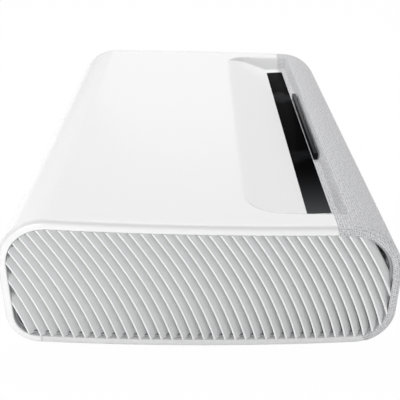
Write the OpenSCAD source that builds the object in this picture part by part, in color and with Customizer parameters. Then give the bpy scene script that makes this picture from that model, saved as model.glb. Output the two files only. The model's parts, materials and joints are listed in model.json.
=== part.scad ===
// Short-throw projector with a white lid, a cloth front, two louvred ends and a slim disc drive.
// Millimetres. +Z is up, +X runs along the long side and the cloth front faces -Y.
// The origin is on the floor, under the middle of the housing.

/* [Housing] */
// Length over both louvred ends
body_len = 551; // [540:1:600]
// Depth from the cloth front to the rear wall
body_dep = 367; // [362:1:400]
// Height of the housing above its feet, at mid depth
body_high = 132; // [124:1:140]
// How much higher the lid's rear edge lies than its front edge
lid_fall = 8; // [4:0.5:12]
// How far each end bulges out in plan
end_bulge = 8; // [6:1:16]
// Corner radius of the end profile, front top
front_top_r = 55; // [52:1:62]
// Corner radius of the end profile, front bottom
front_bottom_r = 36; // [32:1:38]
// Corner radius of the end profile, rear top
rear_top_r = 50; // [46:1:58]
// Corner radius of the end profile, rear bottom
rear_bottom_r = 30; // [22:1:32]
// Wall of the lid and the base
wall = 2.6; // [2.2:0.1:3]
// Width of the rim around each louvre
rim = 8.6; // [7:0.2:11]
// Height of the feet
foot_high = 6; // [5:0.5:9]
// Gap along every seam
seam = 0.3; // [0.2:0.05:0.5]

/* [Cloth front] */
// Thickness of the cloth
cloth_thick = 0.8; // [0.6:0.1:1]
// Thickness of the frame under the cloth
frame_thick = 2.2; // [1.8:0.1:2.6]
// How far the cloth reaches back over the lid
cloth_over = 65; // [63:0.5:70]
// How far the cloth reaches back under the base
cloth_under = 25.5; // [22:0.5:30]

/* [Window valley] */
// Length of the valley along the lid
valley_len = 496; // [480:1:505]
// Distance of the valley's rear edge from the front
valley_back = 142.5; // [130:0.5:150]
// Depth of the valley at the window's rear edge
valley_drop = 16.2; // [14:0.2:18]
// Corner radius of the valley in plan
valley_r = 35; // [20:1:45]
// How far the valley's end walls lean outwards
valley_lean = 18; // [10:1:22]
// Distance of the window's rear edge from the front
window_back = 83; // [80:0.5:88]
// Distance of the window's front edge from the front
window_front = 60; // [59.5:0.5:65]
// How much higher the window's front edge lies than its rear edge
window_rise = 1; // [0.5:0.5:6]
// Length of the window
window_len = 440; // [430:1:456]
// Distance of the shelf's front edge from the front
shelf_front = 54; // [53:0.5:54.5]
// Distance of the lip's crest from the front
lip_front = 50.5; // [49:0.5:51.5]

/* [Sensor bar] */
// Length of the bar
bar_len = 198; // [150:1:240]
// Width of the bar
bar_wide = 4.6; // [4:0.2:5.4]
// Height of the bar above its shelf
bar_high = 8; // [6:0.2:9]

/* [Louvres] */
// Number of fins in each louvre
fin_count = 38; // [30:1:44]
// Step from fin to fin at the rear
fin_step = 10.78; // [10.4:0.02:11.4]
// How much each step is shorter than the one before
fin_close = 0.054; // [0:0.002:0.08]
// Place of the first fin, from the middle of the depth
fin_first = 184; // [178:0.2:190]
// Rearward rise of a fin over half the louvre's height
fin_rise = 25.2; // [18:0.1:28]
// Extra rise that bows a fin
fin_bow = 5; // [0:0.1:6]
// Thickness of a fin
fin_thick = 2; // [1.2:0.1:2.4]
// Depth of the louvre
louvre_deep = 9; // [7:0.5:11]
// How far the ring round the fins lies behind their front edges
ring_back = 4; // [3:0.5:5]
// Angle of the fins to the straight way through
fin_angle = 42; // [25:1:50]

/* [Disc drive] */
// Diameter of the disc
disc_d = 120; // [118:0.5:122]
// Width of the drive's case
drive_wide = 132; // [130:0.5:134]
// Height of the drive's case
drive_high = 16; // [15.6:0.1:17]
// Depth of the drive's case
drive_deep = 138; // [137:0.5:142]
// Sheet thickness of the case
sheet = 0.8; // [0.6:0.1:1]
// Travel of the tray
tray_travel = 128; // [100:1:130]
// Travel of the pickup sled
sled_travel = 33; // [28:1:34]
// Depth of the pocket for the disc
pocket_deep = 4.6; // [4.4:0.1:4.9]
// Depth of the step for a small disc inside the pocket
step_deep = 0.8; // [0.6:0.1:0.9]
// Thickness of the tray's door
door_thick = 4; // [3.5:0.1:4.4]

/* [Optics] */
// Outer radius of the lens barrel
barrel_r = 18; // [17:0.1:18.4]
// Length of the lens barrel
barrel_len = 84; // [80:1:88]
// Radius of curvature of the curved mirror
mirror_r = 100; // [95:1:110]
// Width of the curved mirror
mirror_wide = 124; // [110:1:130]
// Teeth of the focus ring
ring_teeth = 80; // [78:1:82]
// Teeth of the focus pinion
pinion_teeth = 16; // [14:1:18]
// Gear module
gear_mod = 0.5; // [0.48:0.01:0.52]

/* [Cooling] */
// Side of a fan
fan_size = 80; // [70:1:82]
// Depth of a fan
fan_deep = 20; // [15:1:22]
// Number of fan blades
blade_count = 7; // [5:1:11]

/* [Sound] */
// Radius of a woofer
woofer_r = 33; // [28:0.5:34]
// Radius of a tweeter
tweeter_r = 15; // [12:0.5:16]

/* [Hidden] */

$fn = 48;
corner_steps = 15;      // straight pieces in each corner of the end profile
end_steps = 16;         // straight pieces in each bulging end
fin_parts = 7;          // straight pieces in each fin
run_gap = 0.3;          // running gap between pieces that slide past each other
fit_gap = 0.05;         // radial clearance of a shaft in its bearing

// Places that come from the housing
front_y = -body_dep / 2;
rear_y = body_dep / 2;
floor_z = foot_high + wall;
slope = lid_fall / body_dep;
tilt = atan(slope);
function lid_z(y) = foot_high + body_high + slope * y;
function end_x(y, inset = 0) = body_len / 2 - inset - end_bulge * pow(2 * y / body_dep, 2);

// Centres of the end profile's four corners, as [y, z]
front_bottom = [front_y + front_bottom_r, foot_high + front_bottom_r];
rear_bottom = [rear_y - rear_bottom_r, foot_high + rear_bottom_r];
rear_top = [rear_y - rear_top_r, lid_z(rear_y - rear_top_r) - rear_top_r / cos(tilt)];
front_top = [front_y + front_top_r, lid_z(front_y + front_top_r) - front_top_r / cos(tilt)];
function skin_z(y) = y > front_top[0] ? lid_z(y)
    : front_top[1] + sqrt(pow(front_top_r, 2) - pow(y - front_top[0], 2));

// The louvres: how the fins lean, and the way and length of their blades
fin_lean = atan(fin_rise / (body_high * 0.4));
blade_way = [cos(fin_angle), -sin(fin_angle) * cos(fin_lean), sin(fin_angle) * sin(fin_lean)];
blade_long = 110;

// The valley and the window, as distances along Y and heights
valley_y = front_y + valley_back;
window_y0 = front_y + window_back;
window_y1 = front_y + window_front;
shelf_y = front_y + shelf_front;
lip_y = front_y + lip_front;
window_z0 = lid_z(window_y0) - valley_drop;
window_z1 = window_z0 + window_rise;
window_pitch = atan(window_rise / (window_y0 - window_y1));
window_wide = (window_y0 - window_y1) / cos(window_pitch);
glass_thick = wall * cos(window_pitch);
glass_frame = 2.4;

// The disc drive
drive_z0 = front_bottom[1] + 2;
drive_z1 = drive_z0 + drive_high;
drive_y0 = front_y + door_thick + 1.5;
drive_y1 = drive_y0 + drive_deep;
door_y1 = front_y + door_thick;
door_wide = drive_wide + 3;
door_high = drive_high + 1.6;
door_z = (drive_z0 + drive_z1) / 2;
rail_thick = 2;
rail_high = 7;
rail_len = drive_deep - 18;
tray_half = drive_wide / 2 - sheet - rail_thick - 2 * run_gap;
tray_z0 = drive_z0 + sheet + 0.4;
tray_z1 = drive_z1 - sheet - 1.6;
tray_y1 = drive_y1 - sheet - 1.6;
pocket_r = disc_d / 2 + 0.5;
pocket_z = tray_z1 - pocket_deep;
step_r = 40.5;
disc_y = door_y1 + 1.5 + pocket_r;
bay_half = 30;          // cavity for the mechanism under the pocket
bay_z = pocket_z - 1.4;
bay_y0 = disc_y - 16;
bay_y1 = tray_y1 - 2.2;
plate_z1 = tray_z0 + 1.2;
hub_r = 12.5;
rod_x = 17;
rod_r = 1.25;
rod_z = plate_z1 + 2.3;
holder_long = 2;
sled_y0 = disc_y + hub_r + 4.7;
sled_long = 17;
screw_x = 24.5;
screw_r = 1.2;
journal_r = 0.8;
motor_long = 10;
rod_y0 = sled_y0 - 0.6 - holder_long;
rod_y1 = bay_y1 - 0.2;
screw_y0 = sled_y0 - 0.2;
screw_y1 = rod_y1 - holder_long - 0.4;
eject_x = drive_wide / 2 - 22;
eject_r = 2.4;
eject_stroke = 0.6;

// Sound: the boxes stand behind the cloth front
baffle_y = front_y + 15.5;
box_x0 = 88;
box_x1 = body_len / 2 - 39.5;
box_y1 = baffle_y + 68;
box_z0 = 28;
box_z1 = 102;
box_wall = 3;
driver_z = (box_z0 + box_z1) / 2;
woofer_x = box_x0 + woofer_r + 9;
tweeter_x = box_x1 - tweeter_r - 12;

// Cooling: the fans stand behind the louvres, and the heat sink between them
fan_x = end_x(0) - 47.5;
fan_gap_y = 6;
fan_mid_y = box_y1 + 17 + fan_size + fan_gap_y / 2;
fan_z = floor_z + fan_size / 2;
sink_x0 = 120;
sink_x1 = fan_x - 16;
sink_y0 = 8;
sink_y1 = 88;
sink_plate = 4;
sink_fin = 0.8;
sink_step = 3.2;

// Boards and the rear panel
board_thick = 1.6;
main_z = 36;
main_half = 110;
main_y0 = rear_y - 97.5;
main_y1 = rear_y - 16.5;
power_x0 = 14 - fan_x;
power_x1 = -main_half - 16;
power_y0 = -55;
power_y1 = rear_y - 43.5;
power_z = floor_z + 12;
boss_r = 3.5;
boss_in = 6;            // how far the boards' bosses lie inside their edges
panel_x0 = -170;
panel_x1 = 120;
panel_z0 = 34.5;
panel_z1 = 66;
panel_y = rear_y - 13.5;
panel_thick = 2.5;

// Blocks on the power board, as [x, y, length, width, height] from its corner
power_blocks = [[12, 20, 34, 38, 30], [52, 14, 4, 76, 32], [12, 143, 22, 22, 20]];
// Capacitors on the power board, as [x, y, radius, height] from its corner
power_cans = [[26, 80, 11, 32], [26, 106, 11, 32], [66, 110, 8, 24], [66, 136, 8, 24]];

// The optics, which stand on a chassis over the drive
chassis_half = drive_wide / 2 + 14;
chassis_z0 = drive_z1 + run_gap;
chassis_z1 = chassis_z0 + 3;
leg_wide = 8;
leg_x = chassis_half - leg_wide / 2;
leg_ys = [front_y + 44, -30, main_y0 - 16];
leg_deep = 12;
axis_z = chassis_z1 + barrel_r + 3;
engine_y0 = -8;
engine_y1 = 75;
engine_half = 55;
engine_high = 46;
engine_wall = 3;
chassis_y1 = max(engine_y1 + 5, leg_ys[2] + leg_deep / 2 + 4);
barrel_y0 = engine_y0 - barrel_len;
ring_y0 = barrel_y0 + 32;
ring_long = 12;
ring_pitch_r = ring_teeth * gear_mod / 2;
pinion_pitch_r = pinion_teeth * gear_mod / 2;
gear_gap = 0.12;
pinion_x = -(ring_pitch_r + pinion_pitch_r + gear_gap);
cell_long = 20;
cell_r = barrel_r - 3;
element_r = cell_r - 2.4;
laser_long = 35;         // how far the lasers stand out of the engine
laser_y0 = 12;
laser_y1 = 62;
spreader_thick = 5;      // plate between the lasers and the heat pipes
spreader_over = 4;
spreader_x = engine_half + laser_long + spreader_thick;
pipe_r = 3;
wheel_x = 24;
wheel_y = engine_y1 - 21;
wheel_r = 17;
mirror_y = front_y + 33.5;
mirror_thick = 4;
mirror_z0 = chassis_z1 + 2.7;
mirror_z1 = window_z0 - 2;

// The rear panel's sockets, which stand on the main board, as [width, height]
port_z = main_z + board_thick;
port_y1 = panel_y + panel_thick + 0.8;
port_gap = 0.4;
hdmi_xs = [-92, -67, -42];
hdmi = [15.2, 5.7];
jack_x = -6;
jack = [16.5, 22];
optical_x = 34;
optical = [10, 10.5];
sound_x = 54;
sound_r = 4;
inlet_x = -148;
inlet = [24, 16.5];
inlet_z = (panel_z0 + panel_z1) / 2;
button_x = 96;
button_z = inlet_z;
button_r = 6;
button_stroke = 0.8;

// Feet and fixings
foot_x = body_len / 2 - 70.5;
foot_y = front_y + 58;
rear_foot_y = rear_y - 53;
foot_r = 14;
stud_r = 4;
stud_z0 = 2.5;
stud_top = 24;
insert_x = 150;
insert_ys = [front_y + 98, rear_y - 68];
insert_r = 2.5;

function arc_points(centre, r, from, to, steps) = [
    for (i = [0:steps]) let (a = from + (to - from) * i / steps)
        [centre[0] + r * cos(a), centre[1] + r * sin(a)]
];

// End profile of the housing, drawn in by inset
function section(inset) = concat(
    arc_points(front_bottom, front_bottom_r - inset, 180, 270, corner_steps),
    arc_points(rear_bottom, rear_bottom_r - inset, 270, 360, corner_steps),
    arc_points(rear_top, rear_top_r - inset, 0, 90 + tilt, corner_steps),
    arc_points(front_top, front_top_r - inset, 90 + tilt, 180, corner_steps)
);

// Plan of the housing between its two bulging ends, drawn in by inset
function plan(inset) = let (ys = [for (i = [0:end_steps]) front_y + body_dep * i / end_steps])
    concat([for (y = ys) [end_x(y, inset), y]],
        [for (i = [end_steps:-1:0]) [-end_x(ys[i], inset), ys[i]]]);

// Rectangle x by y with round corners
function round_rect(x, y, r, steps = 6) = concat(
    arc_points([x / 2 - r, y / 2 - r], r, 0, 90, steps),
    arc_points([r - x / 2, y / 2 - r], r, 90, 180, steps),
    arc_points([r - x / 2, r - y / 2], r, 180, 270, steps),
    arc_points([x / 2 - r, r - y / 2], r, 270, 360, steps)
);

// Runs a [y, z] outline along X, centred
module along_x(len) rotate([90, 0, 90]) linear_extrude(len, center = true) children();
// Runs an [x, z] outline from y0 to y1
module along_y(y0, y1) translate([0, y1, 0]) rotate([90, 0, 0]) linear_extrude(y1 - y0) children();
// Turns a shape built on +Z so that it lies along +X or +Y
module lay_x() rotate([0, 90, 0]) children();
module lay_y() rotate([-90, 0, 0]) children();
// Box from its lowest to its highest corner
module block(low, high) translate(low) cube(high - low);

module body_solid(inset, end_inset) intersection() {
    along_x(body_len + 2) polygon(section(inset));
    linear_extrude(lid_z(rear_y) + 10) polygon(plan(end_inset));
}

// Hollow skin of the housing, open at both ends inside the rim
module skin(inset, thick) difference() {
    body_solid(inset, inset);
    body_solid(inset + thick, inset + thick);
    along_x(body_len + 4) polygon(section(rim));
}

// Space in front of the cloth seam, drawn in by gap
module front_zone(gap) along_x(body_len + 10) polygon([
    [front_y - 10, -10], [front_y + cloth_under - gap, -10], [front_y + cloth_under - gap, foot_high],
    [front_y + cloth_over - gap, lid_z(0)], [front_y - 10, lid_z(0)]
]);

// Space of the base, between the cloth seam and the rear corner, drawn in by gap
module base_zone(gap) along_x(body_len + 10) polygon([
    [front_y + cloth_under + gap, -10], [rear_bottom[0] - 3 - gap, -10],
    [rear_bottom[0] - 3 - gap, foot_high + rim + 2],
    [front_y + cloth_under + gap + (cloth_over - cloth_under) * (rim + 2) / body_high, foot_high + rim + 2],
    [front_y + cloth_under + gap, foot_high]
]);

// The valley's space, deepened and widened by grow
module valley(grow) intersection() {
    along_x(body_len) polygon([
        [valley_y + grow, lid_z(0) + 10], [valley_y + grow, lid_z(valley_y) - grow],
        [window_y0, window_z0 - grow], [window_y1, window_z1 - grow],
        [max(shelf_y - grow, lip_y), window_z1 - grow],
        [lip_y, grow > 0 ? window_z1 - grow / 2 : skin_z(lip_y)],
        [lip_y, skin_z(lip_y) - grow / 2], [lip_y - 2, lid_z(0) + 10]
    ]);
    along_y(front_y, rear_y) polygon([
        [-valley_len / 2 + valley_lean - grow, window_z0 - wall - 1],
        [valley_len / 2 - valley_lean + grow, window_z0 - wall - 1],
        [valley_len / 2 + grow, lid_z(window_y0)], [valley_len / 2 + grow, lid_z(0) + 10],
        [-valley_len / 2 - grow, lid_z(0) + 10], [-valley_len / 2 - grow, lid_z(window_y0)]
    ]);
    linear_extrude(lid_z(0) + 10) translate([0, (valley_y + grow + front_y) / 2])
        polygon(round_rect(valley_len + 2 * grow, valley_y + grow - front_y, valley_r + grow, 8));
}

// Skin of the valley from depth to depth plus thick behind its surface
module valley_skin(depth, thick) difference() {
    intersection() {
        valley(depth + thick);
        body_solid((depth + thick) / 2, depth + thick);
    }
    valley(depth);
}

// Places a shape in the window's plane: X along the window, Y up its slope to the rear, Z out of it
module at_window() translate([0, (window_y0 + window_y1) / 2, (window_z0 + window_z1) / 2])
    rotate([-window_pitch, 0, 0]) children();

module top_cover() color("white") difference() {
    union() {
        difference() {
            skin(0, wall);
            front_zone(-seam / 2);
            base_zone(-seam / 2);
        }
        difference() {
            valley_skin(0, wall);
            front_zone(-seam / 2);
        }
    }
    valley(0);
    at_window() translate([0, 0, -wall * 3]) linear_extrude(wall * 4)
        polygon(round_rect(window_len, window_wide, 3));
    block([panel_x0, rear_y - 2 * wall, panel_z0], [panel_x1, rear_y + 1, panel_z1]);
}

module base_tray() color("gainsboro") difference() {
    union() {
        intersection() {
            skin(0, wall);
            base_zone(seam / 2);
        }
        for (side = [-1, 1]) {
            translate([side * foot_x, foot_y, foot_high + 1])
                cylinder(r = stud_r + 4, h = stud_top + 1 - foot_high);
            for (y = insert_ys)
                translate([side * insert_x, y, foot_high + 1]) cylinder(r = insert_r + 3.5, h = 10);
            for (y = [main_y0 + boss_in, main_y1 - 20]) translate([side * (main_half - 8), y, foot_high + 1])
                cylinder(r = boss_r, h = main_z - foot_high - 1);
        }
        for (x = [power_x0 + boss_in, power_x1 - boss_in], y = [power_y0 + boss_in, power_y1 - boss_in])
            translate([x, y, foot_high + 1]) cylinder(r = boss_r, h = power_z - foot_high - 1);
    }
    for (side = [-1, 1]) {
        translate([side * foot_x, foot_y, -1]) cylinder(r = stud_r + fit_gap, h = stud_top + 10);
        for (y = insert_ys) translate([side * insert_x, y, foot_high - 1]) cylinder(r = insert_r, h = 10);
        for (y = leg_ys) translate([side * leg_x, y, foot_high - 1]) {
            cylinder(r = 1.7, h = wall + 2);
            cylinder(r = 3.1, h = 2.3);
        }
    }
    for (i = [-9:9]) block([i * 9 - 1.6, -22, foot_high - 1], [i * 9 + 1.6, 52, floor_z + 1]);
}

module tray_mouth(gap) block([-door_wide / 2 - gap, front_y - 5, door_z - door_high / 2 - gap],
    [door_wide / 2 + gap, front_y + 20, door_z + door_high / 2 + gap]);

module front_cloth() color("lightgray") difference() {
    intersection() {
        union() {
            difference() {
                skin(0, cloth_thick);
                valley(0);
            }
            valley_skin(0, cloth_thick);
        }
        front_zone(seam / 2);
    }
    tray_mouth(run_gap);
}

module front_frame() color("silver") difference() {
    intersection() {
        union() {
            difference() {
                skin(cloth_thick + seam / 2, frame_thick);
                valley(cloth_thick + seam / 2);
            }
            valley_skin(cloth_thick + seam / 2, frame_thick);
        }
        front_zone(seam / 2);
    }
    tray_mouth(run_gap);
    for (side = [-1, 1], i = [0:14]) {
        x = side * (box_x0 + 14 + i * 9);
        block([x - 2.8, front_y - 2, driver_z - 28], [x + 2.8, baffle_y, driver_z + 28]);
    }
}

// Front edge of fin i of the left louvre: its place along Y at height z, and the point there
function fin_y(i, z) = let (w = (z - foot_high - body_high / 2) / (body_high * 0.4))
    fin_first - fin_step * i + fin_close / 2 * i * i + fin_rise * w + fin_bow * w * w;
function fin_point(i, z) = [-end_x(fin_y(i, z)), fin_y(i, z), z];

// Outline of fin i seen along its blade, which leans in, up and to the front
function fin_outline(i) = let (
    edge = [for (j = [0:fin_parts]) let (p = fin_point(i, foot_high + body_high * j / fin_parts))
        [p * [sin(fin_angle), cos(fin_angle) * cos(fin_lean), -cos(fin_angle) * sin(fin_lean)],
            p * [0, sin(fin_lean), cos(fin_lean)]]]
) concat([for (p = edge) p - [fin_thick / 2, 0]],
    [for (j = [fin_parts:-1:0]) edge[j] + [fin_thick / 2, 0]]);

module left_louvre() color("whitesmoke") {
    intersection() {
        rotate([-fin_lean, 0, 0]) rotate([0, 0, -fin_angle]) for (i = [0:fin_count - 1])
            translate([fin_point(i, axis_z) * blade_way, 0, 0]) along_x(blade_long) polygon(fin_outline(i));
        louvre_zone(0, 0);
    }
    difference() {
        louvre_zone(0, ring_back);
        louvre_zone(2, ring_back);
    }
}
// Space of the left louvre inside the rim, drawn in by inset and starting at depth behind the end
module louvre_zone(inset, depth) translate([-body_len / 2, 0, 0]) intersection() {
    along_x(body_len) polygon(section(rim + seam + inset));
    translate([body_len / 2, 0, 0]) linear_extrude(lid_z(0) + 10) polygon(concat(
        [for (i = [0:end_steps]) let (y = front_y + body_dep * i / end_steps) [-end_x(y, depth), y]],
        [for (i = [end_steps:-1:0]) let (y = front_y + body_dep * i / end_steps) [-end_x(y, louvre_deep), y]]
    ));
}

module right_louvre() mirror([1, 0, 0]) left_louvre();

module window_glass() color("black") at_window() translate([0, 0, -glass_thick])
    linear_extrude(glass_thick) polygon(round_rect(window_len - seam, window_wide - seam, 3));

module window_frame() color("dimgray") at_window() translate([0, 0, -glass_thick - glass_frame])
    linear_extrude(glass_frame - 0.1) difference() {
        polygon(round_rect(window_len + 10, window_wide, 4));
        polygon(round_rect(window_len - 8, window_wide - 6, 2));
    }

module sensor_bar() color("black") translate([0, (window_y1 + shelf_y) / 2, window_z1])
    linear_extrude(bar_high) polygon(round_rect(bar_len, bar_wide, bar_wide / 2 - 0.01, 8));

module rear_panel() color("dimgray") difference() {
    block([panel_x0 + seam, panel_y, panel_z0 + seam], [panel_x1 - seam, rear_y - seam, panel_z1 - seam]);
    block([panel_x0 + seam + 2, panel_y + panel_thick, panel_z0 + seam + 1.5],
        [panel_x1 - seam - 2, rear_y + 1, panel_z1 - seam - 2]);
    for (x = hdmi_xs) port_hole(x, hdmi);
    port_hole(jack_x, jack);
    port_hole(optical_x, optical);
    port_hole(sound_x, [2 * sound_r, 2 * sound_r]);
    port_hole(inlet_x, inlet, inlet_z - inlet[1] / 2);
    translate([button_x, panel_y - 1, button_z]) lay_y() cylinder(r = button_r + run_gap, h = 10);
    for (i = [0:9]) block([hdmi_xs[0] - 8 + i * 7, panel_y - 1, panel_z1 - 15],
        [hdmi_xs[0] - 4.5 + i * 7, rear_y, panel_z1 - 6]);
}
module port_hole(x, size, z0 = port_z) block([x - size[0] / 2 - port_gap, panel_y - 1, z0 - port_gap],
    [x + size[0] / 2 + port_gap, rear_y, z0 + size[1] + port_gap]);

// A sheet socket open to the rear, with a tongue along its middle
module socket(x, size, long, shell, tongue, z0 = port_z) {
    difference() {
        block([x - size[0] / 2, port_y1 - long, z0], [x + size[0] / 2, port_y1, z0 + size[1]]);
        block([x - size[0] / 2 + shell, port_y1 - long + 1.5, z0 + shell],
            [x + size[0] / 2 - shell, port_y1 + 1, z0 + size[1] - shell]);
    }
    block([x - size[0] / 2 + 2, port_y1 - long + 1, z0 + size[1] / 2 - tongue / 2],
        [x + size[0] / 2 - 2, port_y1 - 2.5, z0 + size[1] / 2 + tongue / 2]);
}

module hdmi_ports() color("silver") for (x = hdmi_xs) socket(x, hdmi, 12, 0.5, 0.8);

module usb_network_jack() color("silver") {
    usb_z = port_z + 13.5;
    difference() {
        block([jack_x - jack[0] / 2, port_y1 - 16, port_z], [jack_x + jack[0] / 2, port_y1, port_z + jack[1]]);
        block([jack_x - 6, port_y1 - 13, port_z + 1.5], [jack_x + 6, port_y1 + 1, port_z + 10]);
        block([jack_x - 6.5, port_y1 - 12, usb_z], [jack_x + 6.5, port_y1 + 1, usb_z + 6]);
    }
    block([jack_x - 5.5, port_y1 - 12.5, usb_z + 2], [jack_x + 5.5, port_y1 - 2, usb_z + 4]);
}

module audio_ports() color("darkslategray") {
    difference() {
        block([optical_x - optical[0] / 2, port_y1 - 12, port_z],
            [optical_x + optical[0] / 2, port_y1, port_z + optical[1]]);
        block([optical_x - 3.4, port_y1 - 8, port_z + 1.8], [optical_x + 3.4, port_y1 + 1, port_z + 8.6]);
    }
    difference() {
        block([sound_x - sound_r, port_y1 - 12, port_z],
            [sound_x + sound_r, port_y1 - 1, port_z + 2 * sound_r]);
        translate([sound_x, port_y1 - 12 - 1, port_z + sound_r]) lay_y() cylinder(r = 1.8, h = 20);
    }
}

module mains_inlet() color("black") translate([inlet_x, 0, inlet_z]) {
    y1 = panel_y + panel_thick + 2;
    difference() {
        union() {
            block([-inlet[0] / 2, y1 - 22, -inlet[1] / 2], [inlet[0] / 2, y1, inlet[1] / 2]);
            block([-inlet[0] / 2 - 3, y1 - 2, -inlet[1] / 2 - 3], [inlet[0] / 2 + 3, y1, inlet[1] / 2 + 3]);
        }
        block([-9, y1 - 15, -4.5], [9, y1 + 1, 4.5]);
    }
    for (x = [-4.3, 4.3]) translate([x, y1 - 15.5, 0]) lay_y() cylinder(r = 1.2, h = 13);
}

module power_button() color("gainsboro") translate([button_x, panel_y, button_z]) lay_y() {
    translate([0, 0, -run_gap]) cylinder(r = button_r, h = panel_thick + 2.5);
    translate([0, 0, -run_gap - 1.2]) cylinder(r = button_r + 1.6, h = 1.2);
    translate([0, 0, main_y1 + button_stroke + run_gap - panel_y])
        cylinder(r = 2, h = panel_y - main_y1 - button_stroke - 2 * run_gap);
}

// The light path

module optics_chassis() color("slategray") difference() {
    union() {
        block([-chassis_half, front_y + 20, chassis_z0], [chassis_half, chassis_y1, chassis_z1]);
        for (side = [-1, 1], y = leg_ys)
            block([side * leg_x - leg_wide / 2, y - leg_deep / 2, floor_z],
                [side * leg_x + leg_wide / 2, y + leg_deep / 2, chassis_z0 + 1]);
    }
    for (side = [-1, 1], y = leg_ys) translate([side * leg_x, y, floor_z - 1]) cylinder(r = 1.4, h = 20);
}

module light_engine() color("silver") difference() {
    union() {
        difference() {
            block([-engine_half, engine_y0, chassis_z1], [engine_half, engine_y1, chassis_z1 + engine_high]);
            block([engine_wall - engine_half, engine_y0 + engine_wall, chassis_z1 + engine_wall],
                [engine_half - engine_wall, engine_y1 - engine_wall, chassis_z1 + engine_high - engine_wall]);
        }
        translate([wheel_x, wheel_y + 4, axis_z]) lay_y() cylinder(r = 8, h = engine_y1 - wheel_y - 5);
    }
    translate([wheel_x, wheel_y, axis_z]) lay_y() cylinder(r = 1.5 + fit_gap, h = 14);
    translate([0, engine_y0 - 1, axis_z]) lay_y() cylinder(r = 10, h = engine_wall + 2);
    translate([engine_half - engine_wall - 1, wheel_y - 20, axis_z]) lay_x()
        cylinder(r = 9, h = engine_wall + 2);
}

module diffuser_wheel() color("lightyellow") translate([wheel_x, wheel_y, axis_z]) lay_y() {
    difference() {
        cylinder(r = wheel_r, h = 1);
        for (a = [0:60:300]) rotate(a) translate([wheel_r - 3, 0, -1]) cylinder(r = 1, h = 3);
    }
    translate([0, 0, 0.5]) cylinder(r = 5, h = 3);
    cylinder(r = 1.5, h = 13);
}

module laser_module() color("peru") {
    block([engine_half, laser_y0, chassis_z1],
        [engine_half + laser_long, laser_y1, chassis_z1 + engine_high - 4]);
    block([engine_half + laser_long, laser_y0 - spreader_over, chassis_z1 - 2],
        [spreader_x, laser_y1 + spreader_over, chassis_z1 + engine_high - 2]);
    for (y = [laser_y0 + 8:11:laser_y1 - 8])
        translate([engine_half + laser_long / 2, y, chassis_z1 + engine_high - 5]) cylinder(r = 4.5, h = 3);
}

module chip_board() color("seagreen") {
    x1 = -engine_half;
    block([x1 - board_thick, 5, axis_z - 17], [x1, 70, axis_z + 20]);
    block([x1 - board_thick - 2.5, 14, axis_z - 12], [x1 - board_thick + 0.5, 60, axis_z + 15]);
    for (i = [0:9]) block([x1 - board_thick - 14, 15 + i * 4.8, axis_z - 12],
        [x1 - board_thick - 2, 16 + i * 4.8, axis_z + 15]);
}

module lens_barrel() color("dimgray") translate([0, barrel_y0, axis_z]) lay_y() difference() {
    union() {
        cylinder(r = barrel_r, h = barrel_len);
        translate([0, 0, barrel_len - 4]) cylinder(r = barrel_r + 2.5, h = 4);
    }
    translate([0, 0, -1]) cylinder(r = cell_r + fit_gap, h = cell_long + 10);
    cylinder(r = 10, h = barrel_len + 1);
}

module focus_cell() color("darkslategray") translate([0, barrel_y0 + 3, axis_z]) lay_y() difference() {
    cylinder(r = cell_r, h = cell_long);
    translate([0, 0, -1]) cylinder(r = element_r + 0.1, h = 8);
    cylinder(r = element_r - 1.5, h = cell_long + 1);
}

module front_element() color("lightsteelblue") translate([0, barrel_y0 + 4, axis_z]) lay_y() intersection() {
    cylinder(r = element_r, h = 6);
    translate([0, 0, 30]) sphere(r = 30, $fn = 96);
}

module gear(teeth, bore_r, long) linear_extrude(long) difference() {
    polygon([for (i = [0:teeth - 1], k = [0:3]) let (
        a = 360 / teeth * (i + [-0.31, -0.13, 0.13, 0.31][k]),
        r = teeth * gear_mod / 2 + (k == 0 || k == 3 ? -1.1 : 0.8) * gear_mod) [r * cos(a), r * sin(a)]]);
    circle(r = bore_r);
}

module focus_ring() color("dimgray") translate([0, ring_y0, axis_z]) lay_y()
    gear(ring_teeth, barrel_r + fit_gap, ring_long);

module focus_pinion() color("ivory") translate([pinion_x, ring_y0 + 2, axis_z]) lay_y() {
    rotate(180 / pinion_teeth) gear(pinion_teeth, 0.9, ring_long - 4);
    cylinder(r = 1, h = ring_long + 4);
}

module focus_motor() color("silver") {
    y0 = ring_y0 + ring_long + 1;
    difference() {
        union() {
            translate([pinion_x, y0, axis_z]) lay_y() cylinder(r = 5.2, h = 16);
            block([pinion_x - 4, y0 + 4, chassis_z1], [pinion_x + 2, y0 + 12, axis_z - 3]);
        }
        translate([pinion_x, y0 - 1, axis_z]) lay_y() cylinder(r = 1 + fit_gap, h = 8);
    }
}

module mirror_at() translate([0, mirror_y + mirror_r, (mirror_z0 + mirror_z1) / 2 + 6]) children();
module curved_mirror() color("gainsboro") intersection() {
    mirror_at() difference() {
        sphere(r = mirror_r + mirror_thick, $fn = 96);
        sphere(r = mirror_r, $fn = 96);
    }
    block([-mirror_wide / 2, mirror_y - 10, mirror_z0], [mirror_wide / 2, mirror_y + 30, mirror_z1]);
}

module mirror_bracket() color("slategray") {
    y1 = mirror_y - mirror_thick - 0.4;
    block([-50, y1 - 2.4, chassis_z1], [50, y1, chassis_z1 + 28]);
    block([-50, y1 - 1, chassis_z1], [50, mirror_y + 14, mirror_z0 - 0.2]);
}

// Cooling

module heat_sink() color("silver") {
    sink_z1 = chassis_z1 + 36;
    block([sink_x0, sink_y0, floor_z], [sink_x0 + sink_plate, sink_y1, sink_z1]);
    for (y = [sink_y0 : sink_step : sink_y1 - 1])
        block([sink_x0 + sink_plate - 0.5, y, floor_z], [sink_x1, y + sink_fin, sink_z1]);
}

module heat_pipes() color("chocolate") for (y = [laser_y0 + 4:14:laser_y1 - 4])
    translate([spreader_x, y, axis_z]) lay_x() cylinder(r = pipe_r, h = sink_x0 - spreader_x);

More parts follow.
